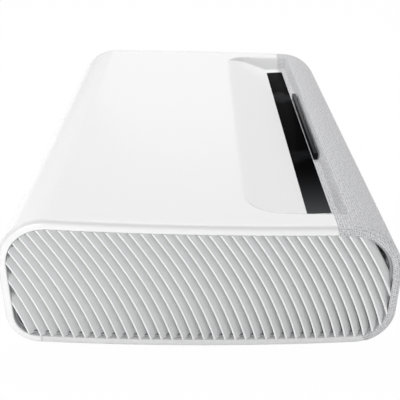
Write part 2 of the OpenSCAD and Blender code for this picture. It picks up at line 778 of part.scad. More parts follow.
// A fan frame from x = 0 to fan_deep, its axis on X
module fan_frame() {
    hub = fan_size * 0.19;
    difference() {
        block([0, -fan_size / 2, -fan_size / 2], [fan_deep, fan_size / 2, fan_size / 2]);
        translate([-1, 0, 0]) lay_x() cylinder(r = fan_size / 2 - 1.6, h = fan_deep + 2);
        for (y = [-1, 1], z = [-1, 1]) translate([-1, y * fan_size * 0.447, z * fan_size * 0.447])
            lay_x() cylinder(r = 2, h = fan_deep + 2);
    }
    difference() {
        union() {
            lay_x() cylinder(r = hub, h = 2);
            for (a = [45:90:315]) rotate([a, 0, 0]) block([0, -1.5, hub - 2], [2, 1.5, fan_size / 2 - 1]);
            lay_x() cylinder(r = 3.2, h = 12);
        }
        translate([-1, 0, 0]) lay_x() cylinder(r = 1.5 + fit_gap, h = 20);
    }
}

module fan_rotor() {
    hub = fan_size * 0.19;
    x0 = 4;
    difference() {
        translate([x0, 0, 0]) lay_x() cylinder(r = hub, h = fan_deep - 1 - x0);
        translate([x0 - 1, 0, 0]) lay_x() cylinder(r = hub - 1.5, h = fan_deep - 2 - x0);
    }
    translate([1, 0, 0]) lay_x() cylinder(r = 1.5, h = fan_deep - 2.5);
    for (k = [0:blade_count - 1]) rotate([k * 360 / blade_count, 0, 0]) intersection() {
        translate([x0 + 1, 0, 0]) lay_x() difference() {
            cylinder(r = fan_size / 2 - 3, h = fan_deep - 3 - x0);
            cylinder(r = hub - 0.8, h = fan_deep - 3 - x0);
        }
        translate([(fan_deep + x0 - 1) / 2, 0, fan_size / 4]) rotate([0, 0, 38])
            cube([fan_deep * 2, 1.4, fan_size / 2], center = true);
    }
}

// Places a fan: side is -1 or 1 along X, place is -1 for the front one and 1 for the rear one
module at_fan(side, place) mirror([side < 0 ? 1 : 0, 0, 0])
    translate([fan_x, fan_mid_y + place * (fan_size + fan_gap_y) / 2, fan_z]) children();

module fan_frames() color("dimgray") for (side = [-1, 1], place = [-1, 1]) at_fan(side, place) fan_frame();
module left_front_fan() color("dimgray") at_fan(-1, -1) fan_rotor();
module left_rear_fan() color("dimgray") at_fan(-1, 1) fan_rotor();
module right_front_fan() color("dimgray") at_fan(1, -1) fan_rotor();
module right_rear_fan() color("dimgray") at_fan(1, 1) fan_rotor();

// Sound

module left_speaker_box() mirror([1, 0, 0]) right_speaker_box();
module right_speaker_box() color("dimgray") difference() {
    union() {
        block([box_x0, baffle_y, box_z0], [box_x1, box_y1, box_z1]);
        for (x = [box_x0 + 8, box_x1 - 10])
            block([x, baffle_y + 23, floor_z], [x + 4, box_y1 - 2, box_z0 + 1]);
    }
    block([box_x0 + box_wall, baffle_y + box_wall, box_z0 + box_wall],
        [box_x1 - box_wall, box_y1 - box_wall, box_z1 - box_wall]);
    translate([woofer_x, baffle_y - 1, driver_z]) lay_y() cylinder(r = woofer_r - 3.4, h = box_wall + 2);
    translate([tweeter_x, baffle_y - 1, driver_z]) lay_y() cylinder(r = tweeter_r - 3.4, h = box_wall + 2);
}

module left_drivers() mirror([1, 0, 0]) right_drivers();
module right_drivers() color("darkslategray") {
    translate([woofer_x, baffle_y, driver_z]) rotate([90, 0, 0]) {
        rotate_extrude() polygon([
            [woofer_r, 0], [woofer_r, 2], [woofer_r - 7, 2], [woofer_r - 7, -1], [16, -20], [8, -20], [8, -15],
            [0, -15], [0, -32], [18, -32], [18, -21.5], [woofer_r - 4, 0]
        ]);
        rotate_extrude() polygon(arc_points([woofer_r - 4.4, 1.9], 2.6, 0, 180, 8));
    }
    translate([tweeter_x, baffle_y, driver_z]) rotate([90, 0, 0]) rotate_extrude() polygon(concat(
        [[0, -12], [tweeter_r - 4, -12], [tweeter_r - 4, 0], [tweeter_r, 0], [tweeter_r, 2]],
        [for (a = [0:15:90]) [(tweeter_r - 5) * cos(a), 2 + 5 * sin(a)]]
    ));
}

module left_cone() mirror([1, 0, 0]) right_cone();
module right_cone() color("gray") translate([woofer_x, baffle_y, driver_z]) rotate([90, 0, 0])
    rotate_extrude() polygon([
        [woofer_r - 7.5, 2.8], [woofer_r - 7.5, 1.8], [9.8, -12.5], [9.8, -18], [9, -18], [9, -12], [6, -9.6],
        [0, -8.8], [0, -7.8], [6, -8.6], [10, -11.2]
    ]);

// Boards

module main_board() color("seagreen") {
    block([-main_half, main_y0, main_z], [main_half, main_y1, port_z]);
    for (x = [-62, -18, 28]) block([x, main_y0 + 14, port_z - 0.2], [x + 30, main_y0 + 42, port_z + 2.4]);
    block([62, main_y0 + 8, port_z - 0.2], [84, main_y0 + 34, port_z + 7]);
    for (x = [-96, -88, -80]) translate([x, main_y0 + 20, port_z - 0.2]) cylinder(r = 3, h = 9);
    block([button_x - 5, main_y1 - 8, port_z - 0.2], [button_x + 5, main_y1, button_z + 4]);
}

module power_board() color("seagreen") {
    top = power_z + board_thick;
    block([power_x0, power_y0, power_z], [power_x1, power_y1, top]);
    for (b = power_blocks)
        translate([power_x0 + b[0], power_y0 + b[1], top - 0.2]) cube([b[2], b[3], b[4] + 0.2]);
    for (c = power_cans)
        translate([power_x0 + c[0], power_y0 + c[1], top - 0.2]) cylinder(r = c[2], h = c[3]);
}

// Flat leads between the boards, the drive and the chip board
module wiring() color("lightgray") {
    lead = 0.5;
    drive_end = [drive_y1 + run_gap, door_z];
    board_end = [main_y0 + 4, port_z + lead];
    ribbon(-50, 22, [drive_end, [drive_y1 + 8, door_z], [main_y0 - 24, port_z + 6], board_end], lead);
    ribbon(40, 12, [[engine_y1 + run_gap, chassis_z1 + 20], [engine_y1 + 8, chassis_z1 + 20],
        [engine_y1 + 10, port_z + 12], [main_y0 + 4, port_z + lead]], lead);
    lead_z = port_z + run_gap + lead;
    block([power_x1 - 4, main_y0 + 22, port_z + run_gap], [-main_half + 4, main_y0 + 32, lead_z]);
    block([power_x1 - 4, main_y0 + 22, power_z + board_thick], [power_x1 - 3, main_y0 + 32, lead_z]);
}
// A strip across x0 to x0 + wide that follows [y, z] points
module ribbon(x0, wide, path, thick) translate([x0 + wide / 2, 0, 0]) along_x(wide) polygon(concat(
    [for (p = path) p], [for (i = [len(path) - 1:-1:0]) path[i] - [i == 0 ? 0 : thick / 2, thick]]));

// The disc drive

module drive_case() color("silver") difference() {
    block([-drive_wide / 2, drive_y0, drive_z0], [drive_wide / 2, drive_y1, drive_z1]);
    block([sheet - drive_wide / 2, drive_y0 - 1, drive_z0 + sheet],
        [drive_wide / 2 - sheet, drive_y1 - sheet, drive_z1 - sheet]);
}

module drive_rails() color("silver") for (side = [-1, 1]) {
    x = side * (tray_half + run_gap + rail_thick / 2);
    block([x - rail_thick / 2, drive_y0 + 2, door_z - rail_high / 2],
        [x + rail_thick / 2, drive_y0 + 2 + rail_len, door_z + rail_high / 2]);
}

module disc_tray() color("dimgray") difference() {
    block([-tray_half, door_y1, tray_z0], [tray_half, tray_y1, tray_z1]);
    translate([0, disc_y, pocket_z]) cylinder(r = pocket_r, h = 20);
    translate([0, disc_y, pocket_z - step_deep]) cylinder(r = step_r, h = 20);
    translate([0, disc_y, tray_z0 - 1]) cylinder(r = hub_r + 2, h = 20);
    block([-13, disc_y, tray_z0 - 1], [13, sled_y0 + sled_long + sled_travel + 1.5, pocket_z + 1]);
    block([-bay_half, bay_y0, tray_z0 - 1], [bay_half, bay_y1, bay_z]);
}

module tray_door() color("gainsboro") difference() {
    block([-door_wide / 2, front_y, door_z - door_high / 2], [door_wide / 2, door_y1, door_z + door_high / 2]);
    translate([eject_x, front_y - 1, door_z]) lay_y() cylinder(r = eject_r + 0.1, h = door_thick + 2);
    translate([eject_x - 12, front_y - 1, door_z]) lay_y() cylinder(r = 0.7, h = door_thick + 2);
}

module eject_button() color("silver") translate([eject_x, front_y, door_z]) lay_y()
    cylinder(r = eject_r, h = door_thick - eject_stroke - run_gap);

module spindle_motor() color("silver") {
    block([0.1 - bay_half, bay_y0 + 0.1, tray_z0 + 0.2], [bay_half - 0.1, bay_y1 - 0.1, plate_z1]);
    translate([0, disc_y, plate_z1 - 0.2]) difference() {
        union() {
            cylinder(r = 8.5, h = 2);
            cylinder(r = 3, h = 3.4);
        }
        cylinder(r = 1.5 + fit_gap, h = 10);
    }
}

module spindle_hub() color("gainsboro") translate([0, disc_y, 0]) {
    rim_z = plate_z1 + 1.2;
    difference() {
        translate([0, 0, rim_z]) cylinder(r = hub_r, h = pocket_z - 0.4 - rim_z);
        translate([0, 0, rim_z - 1]) cylinder(r = hub_r - 2, h = pocket_z - 2.4 - rim_z + 1);
    }
    translate([0, 0, plate_z1 + 0.2]) cylinder(r = 1.5, h = pocket_z - 1 - plate_z1);
    translate([0, 0, pocket_z - 0.6]) cylinder(r = hub_r, h = 1);
    translate([0, 0, pocket_z + 0.2]) cylinder(r1 = 7.4, r2 = 6.6, h = 2.6);
    for (a = [0:120:240]) rotate(a) translate([6.6, 0, pocket_z + 1.6]) sphere(r = 0.9);
}

module pickup_sled() color("darkslategray") difference() {
    union() {
        block([-12, sled_y0, rod_z - 1.8], [12, sled_y0 + sled_long, pocket_z - 0.4]);
        block([-rod_x - 3.5, sled_y0, rod_z - 1.8],
            [screw_x - screw_r - run_gap, sled_y0 + sled_long, rod_z + 1.8]);
        translate([0, sled_y0 + 7, pocket_z - 0.5]) cylinder(r1 = 3, r2 = 2.4, h = 0.5);
    }
    for (side = [-1, 1]) translate([side * rod_x, sled_y0 - 1, rod_z]) lay_y()
        cylinder(r = rod_r + fit_gap, h = sled_long + 2);
}

module sled_drive() color("silver") {
    for (side = [-1, 1]) {
        translate([side * rod_x, rod_y0, rod_z]) lay_y() cylinder(r = rod_r, h = rod_y1 - rod_y0);
        for (y = [rod_y0, rod_y1 - holder_long])
            block([side * rod_x - 2.2, y, plate_z1], [side * rod_x + 2.2, y + holder_long, rod_z + 2]);
    }
    motor_y1 = sled_y0 - 0.6;
    difference() {
        block([screw_x - 3.2, motor_y1 - motor_long, plate_z1], [screw_x + 3.2, motor_y1, rod_z + 2.2]);
        translate([screw_x, motor_y1 - 5, rod_z]) lay_y() cylinder(r = journal_r + fit_gap, h = 6);
    }
    difference() {
        block([screw_x - 2.2, rod_y1 - holder_long, plate_z1], [screw_x + 2.2, rod_y1, rod_z + 2]);
        translate([screw_x, rod_y1 - holder_long - 1, rod_z]) lay_y() cylinder(r = journal_r + fit_gap, h = 6);
    }
}

module lead_screw() color("silver") {
    grooves = floor((screw_y1 - screw_y0) / 1.2);
    translate([screw_x, screw_y0, rod_z]) lay_y() rotate_extrude() polygon(concat(
        [[0, 0]],
        [for (i = [0:grooves - 1], k = [0, 1]) [screw_r - k * 0.3, i * 1.2 + k * 0.6]],
        [[screw_r, grooves * 1.2], [0, grooves * 1.2]]
    ));
    translate([screw_x, screw_y0 - 4.4, rod_z]) lay_y()
        cylinder(r = journal_r, h = screw_y1 - screw_y0 + 4.4 + 2);
}

// Feet and fixings

module stud(side) color("silver") translate([side * foot_x, foot_y, stud_z0])
    cylinder(r = stud_r, h = stud_top - stud_z0);
module left_stud() stud(-1);
module right_stud() stud(1);

module pad(side) color("dimgray") translate([side * foot_x, foot_y, 0]) difference() {
    union() {
        cylinder(r = foot_r - 1, h = 2);
        translate([0, 0, 1]) cylinder(r = foot_r, h = foot_high - 1 - run_gap);
    }
    translate([0, 0, stud_z0 - run_gap]) cylinder(r = stud_r + fit_gap, h = foot_high);
    for (a = [0:20:340])
        rotate(a) translate([foot_r + 0.6, 0, 1.5]) cylinder(r = 1.4, h = foot_high, $fn = 16);
}
module left_foot() pad(-1);
module right_foot() pad(1);

module rear_feet() color("dimgray") for (side = [-1, 1]) translate([side * foot_x, rear_foot_y, 0]) {
    cylinder(r = foot_r - 1, h = 2);
    translate([0, 0, 1]) cylinder(r = foot_r, h = foot_high - 1);
}

module screws() color("silver") for (side = [-1, 1], y = leg_ys) translate([side * leg_x, y, foot_high + 0.2])
    difference() {
        union() {
            cylinder(r = 2.9, h = 1.1);
            cylinder(r = 1.35, h = 14);
        }
        block([-2, -0.4, -1], [2, 0.4, 0.5]);
        block([-0.4, -2, -1], [0.4, 2, 0.5]);
    }

top_cover();
base_tray();
front_frame();
front_cloth();
left_louvre();
right_louvre();
window_glass();
window_frame();
sensor_bar();
rear_panel();
mains_inlet();
hdmi_ports();
usb_network_jack();
audio_ports();
power_button();
optics_chassis();
light_engine();
diffuser_wheel();
laser_module();
chip_board();
lens_barrel();
focus_cell();
front_element();
focus_ring();
focus_pinion();
focus_motor();
curved_mirror();
mirror_bracket();
heat_sink();
heat_pipes();
fan_frames();
left_front_fan();
left_rear_fan();
right_front_fan();
right_rear_fan();
left_speaker_box();
right_speaker_box();
left_drivers();
right_drivers();
left_cone();
right_cone();
main_board();
power_board();
wiring();
drive_case();
drive_rails();
disc_tray();
tray_door();
eject_button();
spindle_motor();
spindle_hub();
pickup_sled();
sled_drive();
lead_screw();
left_stud();
right_stud();
left_foot();
right_foot();
rear_feet();
screws();
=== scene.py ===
# Dresses the short-throw projector: lacquered lid, woven front, curved louvres, dark window and light.
import json
import math
import bmesh
import bpy
import numpy as np
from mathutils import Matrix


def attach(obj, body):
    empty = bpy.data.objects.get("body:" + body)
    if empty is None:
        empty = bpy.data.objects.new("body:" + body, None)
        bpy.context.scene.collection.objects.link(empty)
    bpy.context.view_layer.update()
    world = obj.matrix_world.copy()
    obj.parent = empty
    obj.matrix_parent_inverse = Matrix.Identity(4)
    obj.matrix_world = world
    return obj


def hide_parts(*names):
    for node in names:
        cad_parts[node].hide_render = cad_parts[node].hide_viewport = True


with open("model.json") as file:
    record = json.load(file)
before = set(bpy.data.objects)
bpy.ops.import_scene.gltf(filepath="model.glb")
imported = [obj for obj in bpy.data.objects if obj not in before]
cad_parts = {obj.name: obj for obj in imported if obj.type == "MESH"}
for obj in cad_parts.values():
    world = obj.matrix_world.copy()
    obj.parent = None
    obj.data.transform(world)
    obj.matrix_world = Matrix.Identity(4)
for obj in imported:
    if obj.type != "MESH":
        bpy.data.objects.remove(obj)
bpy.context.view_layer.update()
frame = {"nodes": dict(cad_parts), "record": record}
cadNodes = frame["nodes"]
mm = 0.001

cameraView = dict(
    place=(-0.7763, 0.0008, 0.4294),  # metres, in front of the left end and above it
    lens=60.84,                       # mm on a 36 mm square sensor
    pitch=27.93,                      # degrees below the horizon
    yaw=-0.01,                        # degrees off the long axis
    roll=-0.05,
)
cameraData = bpy.data.cameras.new("photoCamera")
cameraData.sensor_fit = "HORIZONTAL"
cameraData.sensor_width = 36
cameraData.lens = cameraView["lens"]
camera = bpy.data.objects.new("photoCamera", cameraData)
camera.location = cameraView["place"]
camera.rotation_mode = "XYZ"
camera.rotation_euler = (math.radians(90 - cameraView["pitch"]), math.radians(cameraView["roll"]),
                         math.radians(-90 + cameraView["yaw"]))
bpy.context.scene.collection.objects.link(camera)
bpy.context.scene.camera = camera


# sRGB hex to linear: each channel plus 0.055, over 1.055, to the power 2.4
def hexColour(code):
    channels = [int(code[i:i + 2], 16) / 255 for i in (1, 3, 5)]
    return tuple(c / 12.92 if c <= 0.04045 else ((c + 0.055) / 1.055) ** 2.4 for c in channels) + (1.0,)


# adds a node: settings are its own options, values fill its sockets, links name (node, output) pairs
def addNode(tree, kind, values=None, links=None, **settings):
    node = tree.nodes.new(kind)
    for option, value in settings.items():
        setattr(node, option, value)
    for socket, value in (values or {}).items():
        node.inputs[socket].default_value = value
    for socket, (source, output) in (links or {}).items():
        tree.links.new(source.outputs[output], node.inputs[socket])
    return node


# a bare Principled material, with its tree and shader; further sockets are named with _ for a space
def newMaterial(name, roughness=0.5, metallic=0.0, **sockets):
    material = bpy.data.materials.new(name)
    material.use_nodes = True
    tree = material.node_tree
    tree.nodes.clear()
    shader = addNode(tree, "ShaderNodeBsdfPrincipled", {"Roughness": roughness, "Metallic": metallic})
    for socket, value in sockets.items():
        shader.inputs[socket.replace("_", " ")].default_value = value
    addNode(tree, "ShaderNodeOutputMaterial", links={"Surface": (shader, "BSDF")})
    return material, tree, shader


# noise on object coordinates with features about scaleMm across, drawn out along each axis by stretch
def grain(tree, scaleMm, stretch=(1, 1, 1), detail=3.0):
    coords = addNode(tree, "ShaderNodeTexCoord")
    perMetre = [1 / (scaleMm * mm * s) for s in stretch]
    mapping = addNode(tree, "ShaderNodeMapping", {"Scale": perMetre}, {"Vector": (coords, "Object")})
    noise = addNode(tree, "ShaderNodeTexNoise", {"Scale": 1.0, "Detail": detail},
                    {"Vector": (mapping, "Vector")})
    return noise, "Fac"


# spreads the pattern from low to high between two colours and feeds the base colour
def tint(tree, shader, pattern, dark, light, low=0.3, high=0.7):
    spread = addNode(tree, "ShaderNodeMapRange", {"From Min": low, "From Max": high}, {"Value": pattern})
    mix = addNode(tree, "ShaderNodeMix", links={"Factor": (spread, "Result")}, data_type="RGBA")
    mix.inputs[6].default_value = hexColour(dark)
    mix.inputs[7].default_value = hexColour(light)
    tree.links.new(mix.outputs[2], shader.inputs["Base Color"])


# turns the pattern into a roughness between low and high
def vary(tree, shader, pattern, low, high):
    spread = addNode(tree, "ShaderNodeMapRange",
                     {"From Min": 0.3, "From Max": 0.7, "To Min": low, "To Max": high}, {"Value": pattern})
    tree.links.new(spread.outputs["Result"], shader.inputs["Roughness"])


# bumps the surface by the pattern, heightMm from its lowest to its highest
def emboss(tree, shader, pattern, heightMm):
    bump = addNode(tree, "ShaderNodeBump", {"Strength": 1.0, "Distance": heightMm * mm}, {"Height": pattern})
    tree.links.new(bump.outputs["Normal"], shader.inputs["Normal"])


# a skin whose noise of scaleMm tints it between two colours, varies its gloss and raises it by bumpMm
def finish(name, dark, light, gloss, scaleMm, bumpMm=0.0, stretch=(1, 1, 1), **sockets):
    material, tree, shader = newMaterial(name, **sockets)
    pattern = grain(tree, scaleMm, stretch)
    tint(tree, shader, pattern, dark, light)
    vary(tree, shader, pattern, *gloss)
    if bumpMm:
        emboss(tree, shader, grain(tree, scaleMm / 3, stretch), bumpMm)
    return material


housing = dict(                                         # mm
    length=551, depth=367,
    low=6, high=137.98, fall=8,                         # underside, lid at mid depth, its fall to the front
    bulge=8,                                            # how far each end bulges
    frontTop=55, rearTop=50, frontBottom=36, rearBottom=30,
    rim=8.6, rimRound=4.4, rimInner=0.8, rimDeep=6.0,   # end rim: face, outer and inner rounding, inner wall
    wall=2.6, seam=0.3,
    clothTop=-119.3, clothBottom=-158, baseRear=150.5,  # where the seams lie along Y
    seamLean=0.3,                                       # how the cloth's seams lean across the end rims
    seamFade=30,                                        # run over which that lean dies away
    straightTo=252, linesTo=251,                        # x past which lines follow the bulge, last before it
    wallBand=3,                                         # how near a wall an opening's faces are looked for
    rimApart=0.05, rimClear=0.15,                       # keep the inner rows of the rim's section distinct
    lipSteps=3, faceShares=(0.35, 0.7), roundSteps=6,   # how finely that section is drawn
)
frontY, rearY = -housing["depth"] / 2, housing["depth"] / 2
slope = housing["fall"] / housing["depth"]
tiltDegrees = math.degrees(math.atan(slope))


# lid height: mid height plus slope times y
def lidZ(y):
    return housing["high"] + slope * y


# end surface: half the length less the bulge times the square of y over half the depth
def endX(y):
    return housing["length"] / 2 - housing["bulge"] * (y / rearY) ** 2


# circle points with their outward normals: centre plus radius times (cos a, sin a)
def arcRows(centreY, centreZ, radius, fromDegrees, toDegrees, steps=64):
    a = np.radians(np.linspace(fromDegrees, toDegrees, steps + 1))
    return np.stack([centreY + radius * np.cos(a), centreZ + radius * np.sin(a), np.cos(a), np.sin(a)], 1)


# the end profile as rows of y, z and normal: up the rear wall, over the lid, down the front, back below
def outlineTable():
    h = housing
    lean = math.cos(math.radians(tiltDegrees))
    backY, foreY = rearY - h["rearTop"], frontY + h["frontTop"]
    rows = np.concatenate([
        arcRows(backY, lidZ(backY) - h["rearTop"] / lean, h["rearTop"], 0, 90 + tiltDegrees),
        arcRows(foreY, lidZ(foreY) - h["frontTop"] / lean, h["frontTop"], 90 + tiltDegrees, 180),
        arcRows(frontY + h["frontBottom"], h["low"] + h["frontBottom"], h["frontBottom"], 180, 270),
        arcRows(rearY - h["rearBottom"], h["low"] + h["rearBottom"], h["rearBottom"], 270, 360)])
    rows = np.concatenate([rows, rows[:1]])
    return rows, np.concatenate([[0], np.cumsum(np.hypot(*np.diff(rows[:, :2], axis=0).T))])


outlineRows, outlineRun = outlineTable()
aroundMm = outlineRun[-1]
cornerRows = 65                                          # rows of one corner in the table


# points and normals of the profile at runs s, taken round and round
def outlineAt(s):
    y, z, ny, nz = (np.interp(np.mod(s, aroundMm), outlineRun, outlineRows[:, k]) for k in range(4))
    size = np.hypot(ny, nz)
    return y, z, ny / size, nz / size


# run of the profile's point at y on the lid, at y on the underside, or at z on the front or the rear wall,
# looked up in the rows of the table over which that coordinate only rises or only falls
def runAt(where, value):
    value = np.asarray(value, float)
    if where == "lid":
        rows = slice(cornerRows // 2, cornerRows + 40)
        return np.interp(-value, -outlineRows[rows, 0], outlineRun[rows])
    if where == "below":
        rows = slice(2 * cornerRows + 10, 4 * cornerRows - 20)
        return np.interp(value, outlineRows[rows, 0], outlineRun[rows])
    if where == "front":
        rows = slice(2 * cornerRows - 3, 2 * cornerRows + 2)
        return np.interp(-value, -outlineRows[rows, 1], outlineRun[rows])
    return value - outlineRows[0, 1]


# how far a point lies inside the profile: the least distance to its tangents
def insetOf(y, z):
    reach = outlineRows[:, 0] * outlineRows[:, 2] + outlineRows[:, 1] * outlineRows[:, 3]
    return np.min(reach - y[..., None] * outlineRows[:, 2] - z[..., None] * outlineRows[:, 3], axis=-1)


# makes a mesh object from points in mm and faces, hangs it on a body and hides the nodes it stands for
def addPiece(name, points, faces, body="root", replaces=(), material=None, uv=None):
    mesh = bpy.data.meshes.new(name)
    places = (np.asarray(points).reshape(-1, 3) * mm).tolist()
    mesh.from_pydata(places, [], [list(map(int, f)) for f in faces])
    if uv is not None:
        layer = mesh.uv_layers.new(name="flat")
        corners = np.empty(len(mesh.loops), dtype=np.int32)
        mesh.loops.foreach_get("vertex_index", corners)
        layer.data.foreach_set("uv", np.asarray(uv, float).reshape(-1, 2)[corners].ravel())
    mesh.update()
    piece = bpy.data.objects.new(name, mesh)
    bpy.context.scene.collection.objects.link(piece)
    return settle(piece, body, replaces, material)


# hangs a piece on a body, hides the nodes it stands for and gives it its slot and material
def settle(piece, body, replaces=(), material=None):
    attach(piece, body)
    if replaces:
        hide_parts(*replaces)
    if material:
        piece.data.materials.clear()
        piece.data.materials.append(material)
    return piece


# merges doubles, turns the faces outwards, smooths them and keeps the edges sharper than sharpDegrees;
# where bevelMm is given, first joins the flat faces and breaks the edges sharper than bevelDegrees
def tidy(piece, sharpDegrees=32, weldMm=0.002, bevelMm=0.0, flatDegrees=1, bevelDegrees=40):
    work = bmesh.new()
    work.from_mesh(piece.data)
    bmesh.ops.remove_doubles(work, verts=work.verts, dist=weldMm * mm)
    bmesh.ops.delete(work, geom=[v for v in work.verts if not v.link_faces], context="VERTS")
    if bevelMm:
        bmesh.ops.dissolve_limit(work, angle_limit=math.radians(flatDegrees), verts=work.verts,
                                 edges=work.edges)
        least = math.radians(bevelDegrees)
        sharp = [e for e in work.edges if len(e.link_faces) == 2 and e.calc_face_angle(0) > least]
        bmesh.ops.bevel(work, geom=sharp, offset=bevelMm * mm, segments=3, profile=0.5, affect="EDGES",
                        clamp_overlap=True)
    bmesh.ops.recalc_face_normals(work, faces=work.faces)
    for face in work.faces:
        face.smooth = True
    limit = math.radians(sharpDegrees)
    for edge in work.edges:
        edge.smooth = len(edge.link_faces) == 2 and edge.calc_face_angle(0.0) < limit
    work.to_mesh(piece.data)
    work.free()
    return piece


# faces of an outer and an inner grid where keep is true, joined by walls along every border
def shellFaces(keep):
    columns = keep.shape[1] + 1
    shift = (keep.shape[0] + 1) * columns
    i, j = np.nonzero(keep)
    corners = [i * columns + j, (i + 1) * columns + j, (i + 1) * columns + j + 1, i * columns + j + 1]
    faces = [np.stack(corners, 1), np.stack(corners[::-1], 1) + shift]
    padded = np.pad(keep, 1)
    sides = (padded[i + 1, j], padded[i + 2, j + 1], padded[i + 1, j + 2], padded[i, j + 1])
    for k, beside in enumerate(sides):
        a, b = corners[k][~beside], corners[(k + 1) % 4][~beside]
        faces.append(np.stack([b, a, a + shift, b + shift], 1))
    return np.concatenate(faces)


# the rim's section from its inner wall over the end face to the skin: depth and inset outside, then inside
def rimColumns(wall):
    deep, rim, lip, bend = (housing[k] for k in ("rimDeep", "rim", "rimInner", "rimRound"))
    apart, clear = housing["rimApart"], housing["rimClear"]
    turn = np.radians(np.linspace(0, 90, housing["lipSteps"] + 1))
    lipRows = [(lip - lip * math.sin(a), rim - lip + lip * math.cos(a), wall, rim - wall - apart * k)
               for k, a in enumerate(turn)]
    faceRows = [(0, rim - lip + (bend - rim + lip) * t,
                 wall, rim - wall - clear + (bend - rim + wall + clear) * t) for t in housing["faceShares"]]
    inner = bend - wall
    roundRows = [(bend - bend * math.cos(a), bend - bend * math.sin(a),
                  bend - inner * math.cos(a), bend - inner * math.sin(a))
                 for a in np.radians(np.linspace(0, 90, housing["roundSteps"] + 1))]
    return [(deep, rim, deep, rim - wall)] + lipRows + faceRows + roundRows


# the whole section over the x lines, as side, share of the end's bulge, fixed x, depth and inset
def housingColumns(xLines, wall):
    rim, straight, bend = rimColumns(wall), housing["straightTo"], housing["rimRound"]
    pairs = []
    for sign in (-1, 1):
        rows = [((sign, 1, 0, a, b), (sign, 1, 0, c, d)) for a, b, c, d in rim]
        rows += [((sign, share, straight, bend, 0), (sign, share, straight, bend, wall))
                 for share in (0.5, 0)]
        pairs.append(rows)
    middle = [((1, 0, x, 0, 0), (1, 0, x, 0, wall)) for x in xLines]
    rows = pairs[0] + middle + pairs[1][::-1]
    return np.array([r[0] for r in rows]), np.array([r[1] for r in rows])


# shell points: the profile at s, drawn in along its normal, with x from the fixed line or the end's bulge
def placeColumns(columns, s, lean):
    side, share, fixed, depth, inset = columns.T
    y, z, ny, nz = outlineAt(s[:, None] + np.asarray(lean)[:, None] * inset[None, :])
    y, z = y - ny * inset, z - nz * inset
    return np.stack([side * ((1 - share) * fixed + share * (endX(y) - depth)), y, z], -1)


# lines from low to high at most step apart that hit every listed stop
def linesThrough(stops, step):
    stops = sorted(stops)
    parts = [np.linspace(a, b, max(2, math.ceil((b - a) / step) + 1))[:-1]
             for a, b in zip(stops, stops[1:])]
    return np.concatenate(parts + [[stops[-1]]])


# the lines together with their negatives, in order
def mirrored(lines):
    return np.unique(np.round(np.concatenate([-np.asarray(lines), lines]), 4))


lid = dict(                                             # mm, the valley in the lid and what lies in it
    valleyRear=-41, windowRear=-100.5, windowFront=-123.5, shelfFront=-129.5, lip=-133,
    drop=16.2, rise=1,                                  # depth at the window's rear edge, rise to its front
    halfLength=248, lean=18, corner=35,                 # half length at the top, lean of ends, plan corner
    windowHalf=220, wallFoot=3.6,                       # half the window, how far walls start below it
    rearFade=0.28, cornerFade=2.2, blends=(0.4, 0.25),  # slopes and blends where the valley runs out
    softRear=0.3, softEnd=0.4, softFrom=222, softOver=4,  # crisp rear edge, rounder ends from that x on
    linesFrom=206, endStep=1.4, rearLine=-38,           # where the mesh lines lie close: x, step and y
    over=100,                                           # z over which the window's faces are looked for
    panel=(-170, 120, 34.5, 66),                        # rear opening: x from and to, z from and to
    steps=dict(length=16, below=3.2, rear=9, bend=4, top=14, valley=1.6),   # most between two mesh lines
)
windowRearZ = lidZ(lid["windowRear"]) - lid["drop"]
windowFrontZ = windowRearZ + lid["rise"]
lipZ = float(outlineAt(runAt("lid", lid["lip"]))[1])


# soft minimum: minus k times the log of the sum of exp(-value / k)
def softMin(a, b, k):
    return np.minimum(a, b) - k * np.log1p(np.exp(-np.abs(a - b) / k))


# depth of the valley below the skin: the least of floor, leaning end wall and round corner, never under 0
def valleyDepth(x, y, skinZ):
    v, away = lid, np.abs(x)
    floorZ = np.interp(y, [v["lip"], v["shelfFront"], v["windowFront"], v["windowRear"], v["valleyRear"]],
                       [lipZ, windowFrontZ, windowFrontZ, windowRearZ, lidZ(v["valleyRear"])])
    floorDepth = np.where(y > v["valleyRear"], (v["valleyRear"] - y) * v["rearFade"], skinZ - floorZ)
    footZ = windowRearZ - v["wallFoot"]
    wallZ = footZ + (away - v["halfLength"] + v["lean"]) * (lidZ(v["windowRear"]) - footZ) / v["lean"]
    outX = np.maximum(away - (v["halfLength"] - v["corner"]), 0)
    outY = np.maximum(y - (v["valleyRear"] - v["corner"]), 0)
    cornerDepth = (v["corner"] - np.hypot(outX, outY)) * v["cornerFade"]
    softness = v["softRear"] + v["softEnd"] / (1 + np.exp(-(away - v["softFrom"]) / v["softOver"]))
    depth = softMin(softMin(skinZ - wallZ, cornerDepth, v["blends"][0]), floorDepth, v["blends"][1])
    return -softMin(-depth, 0 * depth, softness)


# lacquered ABS: moulded, sprayed white and polished, so it mirrors softly with a faint orange peel;
# painted shade makes it a little darker where the surface turns over towards either end
def lacquerMaterial():
    material, tree, shader = newMaterial("lacqueredAbs", IOR=1.46)
    vary(tree, shader, grain(tree, 9), 0.17, 0.22)
    emboss(tree, shader, grain(tree, 3), 0.001)
    turned = addNode(tree, "ShaderNodeAttribute", attribute_name="turn")
    ramp = addNode(tree, "ShaderNodeValToRGB", links={"Fac": (turned, "Fac")})
    ramp.color_ramp.elements[0].color = ramp.color_ramp.elements[1].color = hexColour("#f3f3f3")
    # painted shade: the colour dips to #dcdcdc where the surface turns between the lid and the end face
    for place, code in ((0.06, "#f3f3f3"), (0.3, "#dedede"), (0.75, "#dcdcdc"), (0.97, "#f0f0f0")):
        ramp.color_ramp.elements.new(place).color = hexColour(code)
    tree.links.new(ramp.outputs["Color"], shader.inputs["Base Color"])
    return material
